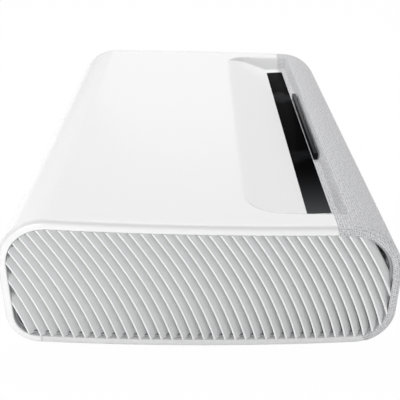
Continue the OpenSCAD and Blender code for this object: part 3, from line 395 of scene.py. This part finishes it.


# stores on a piece how far each point turns towards either end, the size of its normal's x, which sets the
# lacquer's painted shade
def markTurn(piece):
    mesh = piece.data
    normals = np.empty(len(mesh.vertices) * 3, dtype=np.float32)
    mesh.vertex_normals.foreach_get("vector", normals)
    turn = mesh.attributes.new("turn", "FLOAT", "POINT")
    turn.data.foreach_set("value", np.abs(normals[::3]))
    return piece


lacquerWithPaintedShade = lacquerMaterial()
seam = housing["seam"] / 2


# x lines that are close together over the valley's ends
def valleyLines(others, step):
    close = [lid["linesFrom"], lid["windowHalf"], housing["linesTo"]]
    return mirrored(np.concatenate([linesThrough(others + close[:1], step),
                                    linesThrough(close, lid["endStep"])]))


# sinks the outer and the inner grid by the valley's depth under the outer one, and gives its faces' middles
def sinkValley(outer, inner):
    depth = valleyDepth(outer[..., 0], outer[..., 1], outer[..., 2])
    outer[..., 2] -= depth
    inner[..., 2] -= depth
    return (outer[1:, 1:] + outer[1:, :-1] + outer[:-1, 1:] + outer[:-1, :-1]) / 4


# lid from the rear underside over the top to the cloth, with the valley sunk in and two openings left out
def makeTopShell():
    x0, x1, z0, z1 = lid["panel"]
    step = lid["steps"]
    xLines = valleyLines([0, x1, -x0], step["length"])
    fine = [housing["clothTop"] + seam, lid["windowRear"], lid["valleyRear"], lid["rearLine"]]
    s = np.unique(np.round(np.concatenate([
        linesThrough([float(runAt("below", housing["baseRear"] + seam)) - aroundMm, float(runAt("rear", z0))],
                     step["below"]),
        linesThrough([float(runAt("rear", z0)), float(runAt("rear", z1)), 0], step["rear"]),
        linesThrough([0, outlineRun[cornerRows - 1]], step["bend"]),
        runAt("lid", linesThrough([lid["rearLine"], rearY - housing["rearTop"]], step["top"])),
        runAt("lid", linesThrough(fine, step["valley"]))]), 3))
    seamAt = float(runAt("lid", housing["clothTop"]))
    lean = housing["seamLean"] * np.clip(1 - np.abs(s - seamAt) / housing["seamFade"], 0, 1)
    outer, inner = (placeColumns(c, s, lean) for c in housingColumns(xLines, housing["wall"]))
    middle = sinkValley(outer, inner)
    x, y, z = middle[..., 0], middle[..., 1], middle[..., 2]
    window = (np.abs(x) < lid["windowHalf"]) & (y < lid["windowRear"]) & (z > lid["over"])
    panel = (x > x0) & (x < x1) & (z > z0) & (z < z1) & (y > rearY - housing["wallBand"])
    points = np.concatenate([outer.reshape(-1, 3), inner.reshape(-1, 3)])
    return markTurn(tidy(addPiece("topShell", points, shellFaces(~(window | panel)), replaces=["top_cover"],
                                  material=lacquerWithPaintedShade), sharpDegrees=38))


topShell = makeTopShell()
print("top shell:", len(topShell.data.polygons), "faces")

cloth = dict(
    thick=0.8, doorHalf=67.8, doorLow=42.9, doorHigh=61.1,     # mm, with the opening for the tray's door
    pitch=2.3,                                                 # thread spacing, drawn coarse so that it shows
    dipFade=16,                                                # x over which the threads' extra run dies away
    steps=dict(length=14, lip=0.5, shelf=1.5, front=4),        # most between two mesh lines
)


# polyester speaker cloth: plain weave of thick and thin threads, matt, with dark pores between them
def clothMaterial():
    material, tree, shader = newMaterial("wovenPolyester", roughness=0.9, Specular_IOR_Level=0.2,
                                         Sheen_Weight=0.25, Sheen_Roughness=0.5)
    flat = addNode(tree, "ShaderNodeUVMap", uv_map="flat")
    parts = addNode(tree, "ShaderNodeSeparateXYZ", links={"Vector": (flat, "UV")})
    waves = []
    for axis in ("X", "Y"):
        turn = addNode(tree, "ShaderNodeMath", {1: math.pi / cloth["pitch"]}, {0: (parts, axis)},
                       operation="MULTIPLY")
        wave = addNode(tree, "ShaderNodeMath", links={0: (turn, "Value")}, operation="SINE")
        waves.append(addNode(tree, "ShaderNodeMath", links={0: (wave, "Value")}, operation="ABSOLUTE"))
    threads = addNode(tree, "ShaderNodeMath", links={0: (waves[0], "Value"), 1: (waves[1], "Value")},
                      operation="MAXIMUM")
    slub = addNode(tree, "ShaderNodeTexNoise", {"Scale": 0.5, "Detail": 3.0}, {"Vector": (flat, "UV")})
    mottle = addNode(tree, "ShaderNodeMapRange",
                     {"From Min": 0.35, "From Max": 0.65, "To Min": -0.45, "To Max": 0.35},
                     {"Value": (slub, "Fac")})
    weave = addNode(tree, "ShaderNodeMath", links={0: (threads, "Value"), 1: (mottle, "Result")},
                    operation="ADD")
    tint(tree, shader, (weave, "Value"), "#9c9c9e", "#dcdcde", 0.15, 1.0)
    emboss(tree, shader, (threads, "Value"), 0.35)
    return material


# cloth from the window over the lip and round the front to the underside, wrapped over both rims
def makeFrontCloth():
    step = cloth["steps"]
    xLines = valleyLines([0, cloth["doorHalf"]], step["length"])
    s = np.unique(np.round(np.concatenate([
        runAt("lid", linesThrough([lid["lip"], lid["shelfFront"]], step["lip"])),
        runAt("lid", linesThrough([lid["shelfFront"], lid["windowFront"], housing["clothTop"] - seam],
                                  step["shelf"])),
        linesThrough([float(runAt("lid", lid["lip"])), float(runAt("front", cloth["doorHigh"])),
                      float(runAt("front", cloth["doorLow"])),
                      float(runAt("below", housing["clothBottom"] - seam))], step["front"])]), 3))
    outerColumns, innerColumns = housingColumns(xLines, cloth["thick"])
    lean = np.full(len(s), housing["seamLean"])
    outer, inner = placeColumns(outerColumns, s, lean), placeColumns(innerColumns, s, lean)
    middle = sinkValley(outer, inner)
    x, y, z = np.abs(middle[..., 0]), middle[..., 1], middle[..., 2]
    window = (x < lid["windowHalf"]) & (y > lid["windowFront"]) & (z > lid["over"])
    atDoor = (z > cloth["doorLow"]) & (z < cloth["doorHigh"]) & (y < frontY + housing["wallBand"])
    keep = ~(window | atDoor & (x < cloth["doorHalf"]))
    along = np.cumsum(np.linalg.norm(np.diff(outer, axis=1, prepend=outer[:, :1]), axis=-1), axis=1)
    along -= along[:, along.shape[1] // 2][:, None]
    # run of the threads down the cloth: longer than s where it dips into the valley, by its middle column
    dips = np.linalg.norm(np.diff(outer[:, outer.shape[1] // 2], axis=0), axis=-1) - np.diff(s)
    extra = np.concatenate([np.cumsum(dips[::-1])[::-1], [0]])
    inValley = np.clip((housing["linesTo"] - np.abs(outer[..., 0])) / cloth["dipFade"], 0, 1)
    down = s[:, None] - extra[:, None] * inValley
    uv = np.stack([along, down], -1)
    points = np.concatenate([outer.reshape(-1, 3), inner.reshape(-1, 3)])
    piece = addPiece("frontCloth", points, shellFaces(keep), replaces=["front_cloth"],
                     material=clothMaterial(), uv=np.concatenate([uv, uv]))
    tidy(piece, 40)


makeFrontCloth()

base = dict(
    slotStep=9, slotHalf=1.6, slots=9, slotRear=52, slotFront=-22,      # mm, row of vents
    footHoles=(205, -125.5, 4.05), inserts=(150, (-85.5, 115.5), 2.5),  # x, y or ys, and radius
    screws=(76, (-139.5, -30, 70), 3.1, 8.3),                           # x, ys, radius and top of a recess
    footBoss=8, footBossTop=26, insertBoss=6, insertBossTop=17,
    boardBosses=((102, 92), (102, 147), (-102, 92), (-102, 147)), boardTop=36,
    powerBosses=((-208, -49), (-208, 134), (-132, -49), (-132, 134)), powerTop=20.6,
    bossRadius=3.5, pilotRadius=0.8, holesTo=20, sunk=1,                # sunk: how deep bosses reach in
    steps=dict(length=16, floor=9),                                     # most between two mesh lines
)
tubeSteps = 40                                                          # points round a boss or a hole


# a tube upright on (x, y), or a rod where inside is 0: circles at two radii and two heights
def tubePoints(x, y, outside, inside, low, high):
    a = np.linspace(0, 2 * math.pi, tubeSteps, endpoint=False)
    rings = [(outside, low), (outside, high), (inside, high), (inside, low)]
    return np.stack([np.stack([x + r * np.cos(a), y + r * np.sin(a), np.full(tubeSteps, float(z))], 1)
                     for r, z in rings])


# the quads of count such tubes, each from ring to ring and back to its first
def tubeFaces(count):
    n = tubeSteps
    return [[start + k * n + i, start + k * n + (i + 1) % n,
             start + (k + 1) % 4 * n + (i + 1) % n, start + (k + 1) % 4 * n + i]
            for start in range(0, 4 * n * count, 4 * n) for k in range(4) for i in range(n)]


# underside between the cloth and the lid, with its vents, bosses and holes
def makeBaseShell():
    b = base
    sides = (-1, 1)
    slotEdges = [b["slotStep"] * i + side * b["slotHalf"] for i in range(b["slots"] + 1) for side in sides]
    step = b["steps"]
    xLines = mirrored(linesThrough([e for e in slotEdges if e > 0] + [housing["linesTo"]], step["length"]))
    s = np.unique(np.round(runAt("below", linesThrough(
        [housing["clothBottom"] + seam, b["slotFront"], b["slotRear"], housing["baseRear"] - seam],
        step["floor"])), 3))
    seamAt = float(runAt("below", housing["clothBottom"]))
    lean = housing["seamLean"] * np.clip(1 - np.abs(s - seamAt) / housing["seamFade"], 0, 1)
    outer, inner = (placeColumns(c, s, lean) for c in housingColumns(xLines, housing["wall"]))
    middle = (outer[1:, 1:] + outer[1:, :-1] + outer[:-1, 1:] + outer[:-1, :-1]) / 4
    x, y = middle[..., 0], middle[..., 1]
    nearest = np.abs(x - b["slotStep"] * np.round(x / b["slotStep"]))
    vents = (nearest < b["slotHalf"]) & (np.abs(x) < b["slotStep"] * (b["slots"] + 0.5)) & \
        (y > b["slotFront"]) & (y < b["slotRear"])
    points = np.concatenate([outer.reshape(-1, 3), inner.reshape(-1, 3)])
    piece = tidy(addPiece("baseShell", points, shellFaces(~vents), replaces=["base_tray"],
                          material=baseAbs), sharpDegrees=38)
    footX, footY, footHole = b["footHoles"]
    insertX, insertYs, insertHole = b["inserts"]
    screwX, screwYs, screwHole, screwTo = b["screws"]
    holes = [(side * footX, footY, footHole, b["holesTo"]) for side in sides]
    holes += [(side * insertX, y, insertHole, b["holesTo"]) for side in sides for y in insertYs]
    holes += [(side * screwX, y, screwHole, screwTo) for side in sides for y in screwYs]
    cut(piece, [tubePoints(x, y, r, 0.0, 0, top) for x, y, r, top in holes])
    bosses = [(side * footX, footY, b["footBoss"], footHole, b["footBossTop"]) for side in sides]
    bosses += [(side * insertX, y, b["insertBoss"], insertHole, b["insertBossTop"])
               for side in sides for y in insertYs]
    for places, top in ((b["boardBosses"], b["boardTop"]), (b["powerBosses"], b["powerTop"])):
        bosses += [(x, y, b["bossRadius"], b["pilotRadius"], top) for x, y in places]
    foot = housing["low"] + b["sunk"]
    points = np.stack([tubePoints(x, y, r, hole, foot, top) for x, y, r, hole, top in bosses])
    tidy(addPiece("baseBosses", points, tubeFaces(len(bosses)), material=baseAbs))
    return piece


# cuts closed rods out of a piece
def cut(piece, rods):
    cutter = tidy(addPiece("cutter", np.stack(rods), tubeFaces(len(rods))))
    boolean = piece.modifiers.new("holes", "BOOLEAN")
    boolean.operation, boolean.solver, boolean.object = "DIFFERENCE", "EXACT", cutter
    graph = bpy.context.evaluated_depsgraph_get()
    solid = bpy.data.meshes.new_from_object(piece.evaluated_get(graph), depsgraph=graph)
    piece.modifiers.clear()
    piece.data = solid
    bpy.data.objects.remove(cutter)
    return tidy(piece, sharpDegrees=38)


# plain moulded ABS: satin, very fine grain
baseAbs = finish("mouldedWhiteAbs", "#dfdfdf", "#e7e7e7", (0.38, 0.5), 5, 0.006)
baseShell = makeBaseShell()
print("base:", len(baseShell.data.polygons), "faces")

louvre = dict(                                          # mm
    fins=38, first=184, step=10.78, close=0.054, rise=25.2, bow=5.0, halfHigh=52.8, middle=72,
    angle=42, thick=2.0, deep=9.0, edge=8.9, sunk=0.27,
    stations=22, samples=500, least=25,                 # points along a fin, samples to cut it, fewest kept
    ring=2.0, ringBack=4.0, ringSteps=180, ringMark=30,
)


# front edge of fin i along Y at height z: steps that shorten, plus a rise and a bow with the height
def finY(i, z):
    v = louvre
    w = (z - v["middle"]) / v["halfHigh"]
    return v["first"] - v["step"] * i + v["close"] / 2 * i * i + v["rise"] * w + v["bow"] * w * w


# points of that edge, sunk so that the round noses end at the end surface
def finEdge(i, z):
    y = finY(i, z)
    return np.stack([louvre["sunk"] - endX(y), y, z], -1)


# fins and the ring behind their edges: a round-nosed section along each edge, cut where it meets the rim;
# the uv's first number is the depth behind the edge in mm, and on the ring it is ringMark
def makeFins(name, node, side):
    v = louvre
    lean, angle = math.atan(v["rise"] / v["halfHigh"]), math.radians(v["angle"])
    blade = np.array([math.cos(angle), -math.sin(angle) * math.cos(lean), math.sin(angle) * math.sin(lean)])
    across = np.array([math.sin(angle), math.cos(angle) * math.cos(lean), -math.cos(angle) * math.sin(lean)])
    nose, half, long = np.radians(np.linspace(-90, 90, 5)), v["thick"] / 2, v["deep"] / math.cos(angle)
    section = [(half - half * math.cos(a), half * math.sin(a)) for a in nose] + [(long, half), (long, -half)]
    offsets = np.array([a * blade + b * across for a, b in section])
    heights = np.linspace(housing["low"], housing["high"], v["samples"])
    depths = np.array([a for a, _ in section])
    points, uv, faces, lanes, start = [], [], [], len(section), 0
    for i in range(v["fins"]):
        near = finEdge(i, heights)[None] + offsets[:, None]
        inside = insetOf(near[..., 1], near[..., 2]) - v["edge"]
        if (inside > 0).sum(1).min() < v["least"]:
            continue
        spans = []
        for lane in inside:
            within = np.nonzero(lane > 0)[0]
            ends = []
            for a, b in ((within[0] - 1, within[0]), (within[-1], within[-1] + 1)):
                t = lane[a] / (lane[a] - lane[b])
                ends.append(heights[a] + t * (heights[b] - heights[a]))
            spans.append(ends)
        z = np.linspace(*np.array(spans).T, v["stations"])                     # stations by lanes
        points.append(finEdge(i, z) + offsets[None])
        uv.append(np.broadcast_to(depths[None], z.shape))
        grid = np.arange(v["stations"] * lanes).reshape(v["stations"], lanes) + start
        beside = np.roll(grid, -1, axis=1)
        faces += np.stack([grid[:-1], beside[:-1], beside[1:], grid[1:]], -1).reshape(-1, 4).tolist()
        faces += [grid[0][::-1].tolist(), grid[-1].tolist()]
        start += v["stations"] * lanes
    s = np.linspace(0, aroundMm, v["ringSteps"], endpoint=False)
    corners = [(v["ringBack"], v["edge"]), (v["ringBack"], v["edge"] + v["ring"]),
               (v["deep"], v["edge"] + v["ring"]), (v["deep"], v["edge"])]
    ring = placeColumns(np.array([(-1, 1, 0, e, d) for e, d in corners]), s, np.zeros(len(s)))
    grid = np.arange(len(s) * 4).reshape(len(s), 4) + start
    beside, after = np.roll(grid, -1, axis=1), np.roll(grid, -1, axis=0)
    faces += np.stack([grid, beside, np.roll(beside, -1, axis=0), after], -1).reshape(-1, 4).tolist()
    points = np.concatenate([p.reshape(-1, 3) for p in points] + [ring.reshape(-1, 3)])
    points[:, 0] *= -side
    marks = np.full(ring.shape[0] * ring.shape[1], float(v["ringMark"]))
    depth = np.concatenate([d.ravel() for d in uv] + [marks])
    return tidy(addPiece(name, points, faces, replaces=[node], material=finAbsPaintedLightAndShade,
                         uv=np.stack([depth, np.zeros(len(depth))], 1)), sharpDegrees=50, weldMm=0.0005)


# moulded ABS of the fins, with light and shade painted by the depth behind the edge: white noses,
# greyer sides that are painted lighter inwards, painted shade at their feet where little light comes, and a
# mid grey ring
def finMaterial():
    material, tree, shader = newMaterial("satinWhiteAbsPaintedLightAndShade", roughness=0.42)
    mark = louvre["ringMark"]
    flat = addNode(tree, "ShaderNodeUVMap", uv_map="flat")
    depth = addNode(tree, "ShaderNodeSeparateXYZ", links={"Vector": (flat, "UV")})
    ramp = addNode(tree, "ShaderNodeValToRGB")
    scaled = addNode(tree, "ShaderNodeMath", {1: 1 / mark}, {0: (depth, "X")}, operation="MULTIPLY")
    tree.links.new(scaled.outputs["Value"], ramp.inputs["Fac"])
    # painted light and shade: noses white, sides grey by the edge and lighter inwards, feet dark; then the
    # ring
    stops = ((0.0, "#fafafa"), (0.9, "#fafafa"), (1.1, "#dfe1e2"), (6.0, "#f2f2f2"),     # depth in mm, colour
             (10.4, "#f6f6f6"), (10.9, "#5a5b5c"), (13.0, "#5a5b5c"), (29.0, "#a4a6a8"))
    ramp.color_ramp.elements[0].position = stops[0][0] / mark
    ramp.color_ramp.elements[1].position = stops[-1][0] / mark
    ramp.color_ramp.elements[0].color = hexColour(stops[0][1])
    ramp.color_ramp.elements[1].color = hexColour(stops[-1][1])
    for place, code in stops[1:-1]:
        ramp.color_ramp.elements.new(place / mark).color = hexColour(code)
    speck = addNode(tree, "ShaderNodeMapRange",
                    {"From Min": 0.3, "From Max": 0.7, "To Min": 0.97, "To Max": 1.0},
                    {"Value": grain(tree, 6)})
    mixed = addNode(tree, "ShaderNodeMix", {"Factor": 1.0}, data_type="RGBA", blend_type="MULTIPLY")
    tree.links.new(ramp.outputs["Color"], mixed.inputs[6])
    tree.links.new(speck.outputs["Result"], mixed.inputs[7])
    tree.links.new(mixed.outputs[2], shader.inputs["Base Color"])
    vary(tree, shader, grain(tree, 6), 0.36, 0.46)
    emboss(tree, shader, grain(tree, 2), 0.004)
    return material


finAbsPaintedLightAndShade = finMaterial()
finsLeft = makeFins("finsLeft", "left_louvre", -1)
makeFins("finsRight", "right_louvre", 1)
print("fins:", len(finsLeft.data.polygons), "faces a side")


# rounded rectangle in plan: quarter circles of steps points about its four corner centres
def roundedOutline(length, width, radius, steps=6):
    a = np.radians(np.linspace(0, 90, steps + 1))
    corners = []
    for quarter, (sx, sy) in enumerate(((1, 1), (-1, 1), (-1, -1), (1, -1))):
        turned = a + quarter * math.pi / 2
        corners.append(np.stack([sx * (length / 2 - radius) + radius * np.cos(turned),
                                 sy * (width / 2 - radius) + radius * np.sin(turned)], 1))
    return np.concatenate(corners)


# a slab of a rounded outline: rings up its side, then drawn in by edge times (1 - cos a) at edge times sin a
def slabMesh(length, width, radius, thick, edge, steps=5):
    turn = np.radians(np.linspace(0, 90, steps + 1))
    rings = [(0, 0)] + [(edge * (1 - math.cos(a)), thick - edge + edge * math.sin(a)) for a in turn]
    points = []
    for drawn, z in rings:
        outline = roundedOutline(length - 2 * drawn, width - 2 * drawn, max(radius - drawn, 0.01))
        points.append(np.column_stack([outline, np.full(len(outline), z)]))
    n = len(points[0])
    grid = np.arange(len(rings) * n).reshape(len(rings), n)
    beside = np.roll(grid, -1, axis=1)
    faces = np.stack([grid[:-1], beside[:-1], beside[1:], grid[1:]], -1).reshape(-1, 4).tolist()
    return np.concatenate(points), faces + [grid[0][::-1].tolist(), grid[-1].tolist()]


windowPane = dict(                                      # mm
    length=439.7, corner=3, thick=2.6, edge=0.5, gap=0.3,
    barLength=198, barWide=4.6, barCorner=0.8, barHigh=8, barEdge=0.35,
    paintedLightFrom=-0.11, paintedLightTo=-0.222, paintedLightPower=2.3,   # x in m over which the near end is painted lighter, and how
    paintedReflectionTo=-0.08, paintedReflectionShare=0.4, cloudScale=16.0,         # x in m past which clouds of painted reflection show, how much, per metre
)


# coated acrylic, nearly black: the far end stays dark, the near end is painted lighter and painted
# reflections lie as clouds
def windowMaterial():
    material, tree, shader = newMaterial("blackAcrylic", roughness=0.05, Specular_IOR_Level=0.002)
    coords = addNode(tree, "ShaderNodeTexCoord")
    parts = addNode(tree, "ShaderNodeSeparateXYZ", links={"Vector": (coords, "Object")})
    w = windowPane
    # painted reflection: noise clouds that lighten the pane away from the near end
    paintedReflectionNoise = addNode(tree, "ShaderNodeTexNoise", {"Scale": w["cloudScale"], "Detail": 3.0},
                   {"Vector": (coords, "Object")})
    # painted light: the near end is tinted lighter, rising by the power
    along = addNode(tree, "ShaderNodeMapRange", {"From Min": w["paintedLightFrom"], "From Max": w["paintedLightTo"]},
                    {"Value": (parts, "X")})
    paintedNearLight = addNode(tree, "ShaderNodeMath", {1: w["paintedLightPower"]}, {0: (along, "Result")}, operation="POWER")
    middle = addNode(tree, "ShaderNodeMapRange",
                     {"From Min": w["paintedLightFrom"], "From Max": w["paintedReflectionTo"], "To Max": w["paintedReflectionShare"]},
                     {"Value": (parts, "X")})
    clouds = addNode(tree, "ShaderNodeMapRange", {"From Min": 0.55, "From Max": 0.75},
                     {"Value": (paintedReflectionNoise, "Fac")})
    paintedReflection = addNode(tree, "ShaderNodeMath", links={0: (clouds, "Result"), 1: (middle, "Result")},
                   operation="MULTIPLY")
    both = addNode(tree, "ShaderNodeMath", links={0: (paintedNearLight, "Value"), 1: (paintedReflection, "Value")},
                   operation="MAXIMUM")
    tint(tree, shader, (both, "Value"), "#060607", "#48494b", 0.0, 1.0)
    return material


# the pane, laid from the window's rear edge to its front one, and the sensor bar upright on the shelf
def makeWindow():
    w = windowPane
    y0, y1 = lid["windowRear"], lid["windowFront"]
    pitch = math.atan((windowFrontZ - windowRearZ) / (y0 - y1))
    width = (y0 - y1) / math.cos(pitch) - w["gap"]
    points, faces = slabMesh(w["length"], width, w["corner"], w["thick"], w["edge"])
    y = points[:, 1] * math.cos(pitch) + (points[:, 2] - w["thick"]) * math.sin(pitch)
    z = -points[:, 1] * math.sin(pitch) + (points[:, 2] - w["thick"]) * math.cos(pitch)
    placed = np.stack([points[:, 0], y + (y0 + y1) / 2, z + (windowRearZ + windowFrontZ) / 2], 1)
    tidy(addPiece("windowPane", placed, faces, replaces=["window_glass"],
                  material=windowMaterial()), sharpDegrees=40)
    points, faces = slabMesh(w["barLength"], w["barWide"], w["barCorner"], w["barHigh"], w["barEdge"])
    points += [0, (lid["windowFront"] + lid["shelfFront"]) / 2, windowFrontZ]
    tidy(addPiece("sensorWindow", points, faces, replaces=["sensor_bar"],
                  material=finish("glossBlackAcrylic", "#0c0d0e", "#151618", (0.1, 0.2), 14,
                                  Specular_IOR_Level=0.15)), sharpDegrees=40)


makeWindow()
print("window and sensor bar done")

# one finish for each material slot: dark and light colour, gloss from and to, scale and relief in mm
slotFinishes = dict(
    # moulded ABS and polycarbonate: even, with a fine spark-eroded grain
    dark_plastic=dict(name="mouldedBlackAbs", dark="#1b1b1d", light="#27272a", gloss=(0.42, 0.6),
                      scaleMm=1.2, bumpMm=0.02),
    frame_plastic=dict(name="mouldedGreyAbs", dark="#c9cacb", light="#d6d7d8", gloss=(0.4, 0.55),
                       scaleMm=1.6, bumpMm=0.012),
    ivory_plastic=dict(name="ivoryAcetal", dark="#d9d2b8", light="#e6e0ca", gloss=(0.3, 0.45),
                       scaleMm=1.5, bumpMm=0.01),
    bar_black=dict(name="blackAcrylicBar", dark="#101113", light="#1c1d20", gloss=(0.1, 0.2), scaleMm=14),
    gloss_white=dict(name="lacqueredAbsPlain", dark="#eeeeee", light="#f3f3f3", gloss=(0.16, 0.24),
                     scaleMm=9),
    base_white=dict(name="whiteAbsPlain", dark="#e4e4e4", light="#ececec", gloss=(0.38, 0.5), scaleMm=5),
    fin_white=dict(name="finAbsPlain", dark="#e6e7e8", light="#eeeeef", gloss=(0.36, 0.46), scaleMm=6),
    grey_cloth=dict(name="clothBacking", dark="#8a8a8c", light="#a4a4a6", gloss=(0.8, 0.9), scaleMm=1),
    black_glass=dict(name="tintedGlass", dark="#0c0d0f", light="#1b1c1e", gloss=(0.04, 0.08), scaleMm=20),
    # metals: rolled sheet is streaked along X, castings are dull and mottled, extrusions are drawn along Z
    button_metal=dict(name="satinAluminium", dark="#b9babd", light="#d2d3d6", gloss=(0.28, 0.4), scaleMm=0.8,
                      stretch=(1, 8, 1), metallic=1.0),
    steel=dict(name="rolledSteel", dark="#8c8d90", light="#adaeb1", gloss=(0.25, 0.42), scaleMm=1.5,
               stretch=(14, 1, 1), metallic=1.0),
    cast_alloy=dict(name="castMagnesium", dark="#84878c", light="#a0a3a8", gloss=(0.45, 0.65), scaleMm=2.5,
                    bumpMm=0.06, metallic=0.9),
    black_alloy=dict(name="blackAnodised", dark="#17181a", light="#242528", gloss=(0.3, 0.5),
                     scaleMm=1.0, metallic=0.8),
    fin_alloy=dict(name="extrudedAluminium", dark="#a8aaad", light="#c8cacd", gloss=(0.25, 0.4), scaleMm=1.2,
                   stretch=(1, 1, 12), metallic=1.0),
    copper=dict(name="drawnCopper", dark="#8f5436", light="#c07a52", gloss=(0.22, 0.42),
                scaleMm=4, metallic=1.0),
    mirror_face=dict(name="silveredMirror", dark="#e2e4e6", light="#eceef0", gloss=(0.02, 0.05),
                     scaleMm=30, metallic=1.0),
    # glass and films
    lens_glass=dict(name="coatedLens", dark="#1b2430", light="#32435c", gloss=(0.02, 0.05),
                    scaleMm=12, IOR=1.6),
    phosphor=dict(name="phosphorCoating", dark="#c9c06a", light="#e3dc92", gloss=(0.5, 0.7),
                  scaleMm=0.8, bumpMm=0.02),
    ribbon=dict(name="polyimideRibbon", dark="#b9b7ae", light="#d3d1c8", gloss=(0.35, 0.5), scaleMm=1,
                stretch=(1, 30, 1)),
    # boards under green solder mask, pressed cones and rubber feet
    board_green=dict(name="solderMask", dark="#0e3b25", light="#1d5a3a", gloss=(0.25, 0.5),
                     scaleMm=2.2, bumpMm=0.03),
    cone_paper=dict(name="pressedPaper", dark="#2e2f31", light="#454648", gloss=(0.75, 0.9),
                    scaleMm=1.2, bumpMm=0.08),
    foot_rubber=dict(name="nitrileRubber", dark="#151516", light="#222224", gloss=(0.65, 0.85),
                     scaleMm=0.9, bumpMm=0.04),
)
nodeSlots = {part["node"]: part["material_slot"] for part in frame["record"]["subparts"]}
slotMaterials = {slot: finish(**values) for slot, values in slotFinishes.items()}
for node, piece in cadNodes.items():
    piece.data.materials.clear()
    piece.data.materials.append(slotMaterials[nodeSlots[node]])
print("materials on", len(cadNodes), "nodes")

# what gets broken edges as a moulded or pressed part has: piece name, node, body and bevel in mm
softened = (
    ("rearPanel", "rear_panel", "root", 0.35), ("mainsInlet", "mains_inlet", "root", 0.4),
    ("displaySockets", "hdmi_ports", "root", 0.12), ("networkSocket", "usb_network_jack", "root", 0.2),
    ("soundSockets", "audio_ports", "root", 0.2), ("powerButton", "power_button", "power", 0.5),
    ("trayDoor", "tray_door", "tray", 0.6), ("discTray", "disc_tray", "tray", 0.3),
    ("ejectButton", "eject_button", "eject", 0.4), ("spindleHub", "spindle_hub", "hub", 0.2),
    ("rearFeet", "rear_feet", "root", 0.5), ("leftFootPad", "left_foot", "left_foot_pad", 0.3),
    ("rightFootPad", "right_foot", "right_foot_pad", 0.3), ("driveCase", "drive_case", "root", 0.15),
)


# a merged copy of a node with bevelled edges, which stands for it
def soften(name, node, body, bevelMm):
    piece = bpy.data.objects.new(name, cadNodes[node].data.copy())
    bpy.context.scene.collection.objects.link(piece)
    settle(piece, body, [node], slotMaterials[nodeSlots[node]])
    return tidy(piece, sharpDegrees=35, weldMm=0.004, bevelMm=bevelMm)


for row in softened:
    soften(*row)
print("softened", len(softened), "parts")

studio = dict(
    floorHalf=6.0, floorShare=0.98, daylight=0.5,       # half side in m, white share, world's strength
    lamps=(                                             # name, place, aim, size in m, power in W
        ("overheadLamp", (0.5, 0.0, 1.6), (0.1, -0.1, 0.1), 1.4, 13.5),
        ("frontLamp", (-0.9, -1.5, 1.3), (0, 0, 0.1), 1.2, 3),
        ("endLamp", (-1.6, 1.0, 0.22), (-0.25, 0, 0.08), 0.4, 10.5),
        ("rearLamp", (0.2, 1.7, 0.8), (0, -0.1, 0.12), 0.8, 5.5),
        ("farLamp", (2.4, 0.0, 0.8), (0.1, 0, 0.12), 1.0, 0.7),
    ),
)


# white to the camera and through glass, dimmer as the light that falls on the object
def makeWorld():
    world = bpy.data.worlds.new("studio")
    bpy.context.scene.world = world
    world.use_nodes = True
    tree = world.node_tree
    tree.nodes.clear()
    path = addNode(tree, "ShaderNodeLightPath")
    seen = addNode(tree, "ShaderNodeMath",
                   links={0: (path, "Is Camera Ray"), 1: (path, "Is Transmission Ray")}, operation="MAXIMUM")
    strength = addNode(tree, "ShaderNodeMapRange", {"To Min": studio["daylight"], "To Max": 1.0},
                       {"Value": (seen, "Value")})
    back = addNode(tree, "ShaderNodeBackground", {"Color": (1, 1, 1, 1)}, {"Strength": (strength, "Result")})
    addNode(tree, "ShaderNodeOutputWorld", links={"Surface": (back, "Background")})


# floor: pale paper that reads white to the camera yet keeps the object's shadow
def makeFloor():
    half = studio["floorHalf"] / mm
    points = [(-half, -half, 0), (half, -half, 0), (half, half, 0), (-half, half, 0)]
    mesh = bpy.data.meshes.new("floor")
    mesh.from_pydata((np.array(points, float) * mm).tolist(), [], [(0, 1, 2, 3)])
    floor = bpy.data.objects.new("floor", mesh)
    bpy.context.scene.collection.objects.link(floor)
    material, tree, shader = newMaterial("whitePaper", roughness=0.9, Specular_IOR_Level=0.0)
    tint(tree, shader, grain(tree, 40), "#f6f6f6", "#fafafa")
    glow = addNode(tree, "ShaderNodeEmission", {"Color": (1, 1, 1, 1), "Strength": 1.0})
    path = addNode(tree, "ShaderNodeLightPath")
    share = addNode(tree, "ShaderNodeMath", {1: studio["floorShare"]}, {0: (path, "Is Camera Ray")},
                    operation="MULTIPLY")
    mixed = addNode(tree, "ShaderNodeMixShader",
                    links={0: (share, "Value"), 1: (shader, "BSDF"), 2: (glow, "Emission")})
    output = next(node for node in tree.nodes if node.bl_idname == "ShaderNodeOutputMaterial")
    tree.links.new(mixed.outputs[0], output.inputs["Surface"])
    mesh.materials.append(material)


# round area lamp aimed along way: tilted by the angle of way to the vertical, turned to its heading
def makeLamp(name, place, aim, size, power):
    data = bpy.data.lights.new(name, "AREA")
    data.shape, data.size, data.energy = "DISK", size, power
    lamp = bpy.data.objects.new(name, data)
    lamp.location = place
    way = np.array(aim, float) - np.array(place, float)
    flat = math.atan2(way[1], way[0])
    lamp.rotation_euler = (math.acos(-way[2] / np.linalg.norm(way)), 0, flat - math.pi / 2)
    bpy.context.scene.collection.objects.link(lamp)


makeWorld()
makeFloor()
for lamp in studio["lamps"]:
    makeLamp(*lamp)
bpy.context.scene.view_settings.view_transform = "Standard"
print("studio lit")
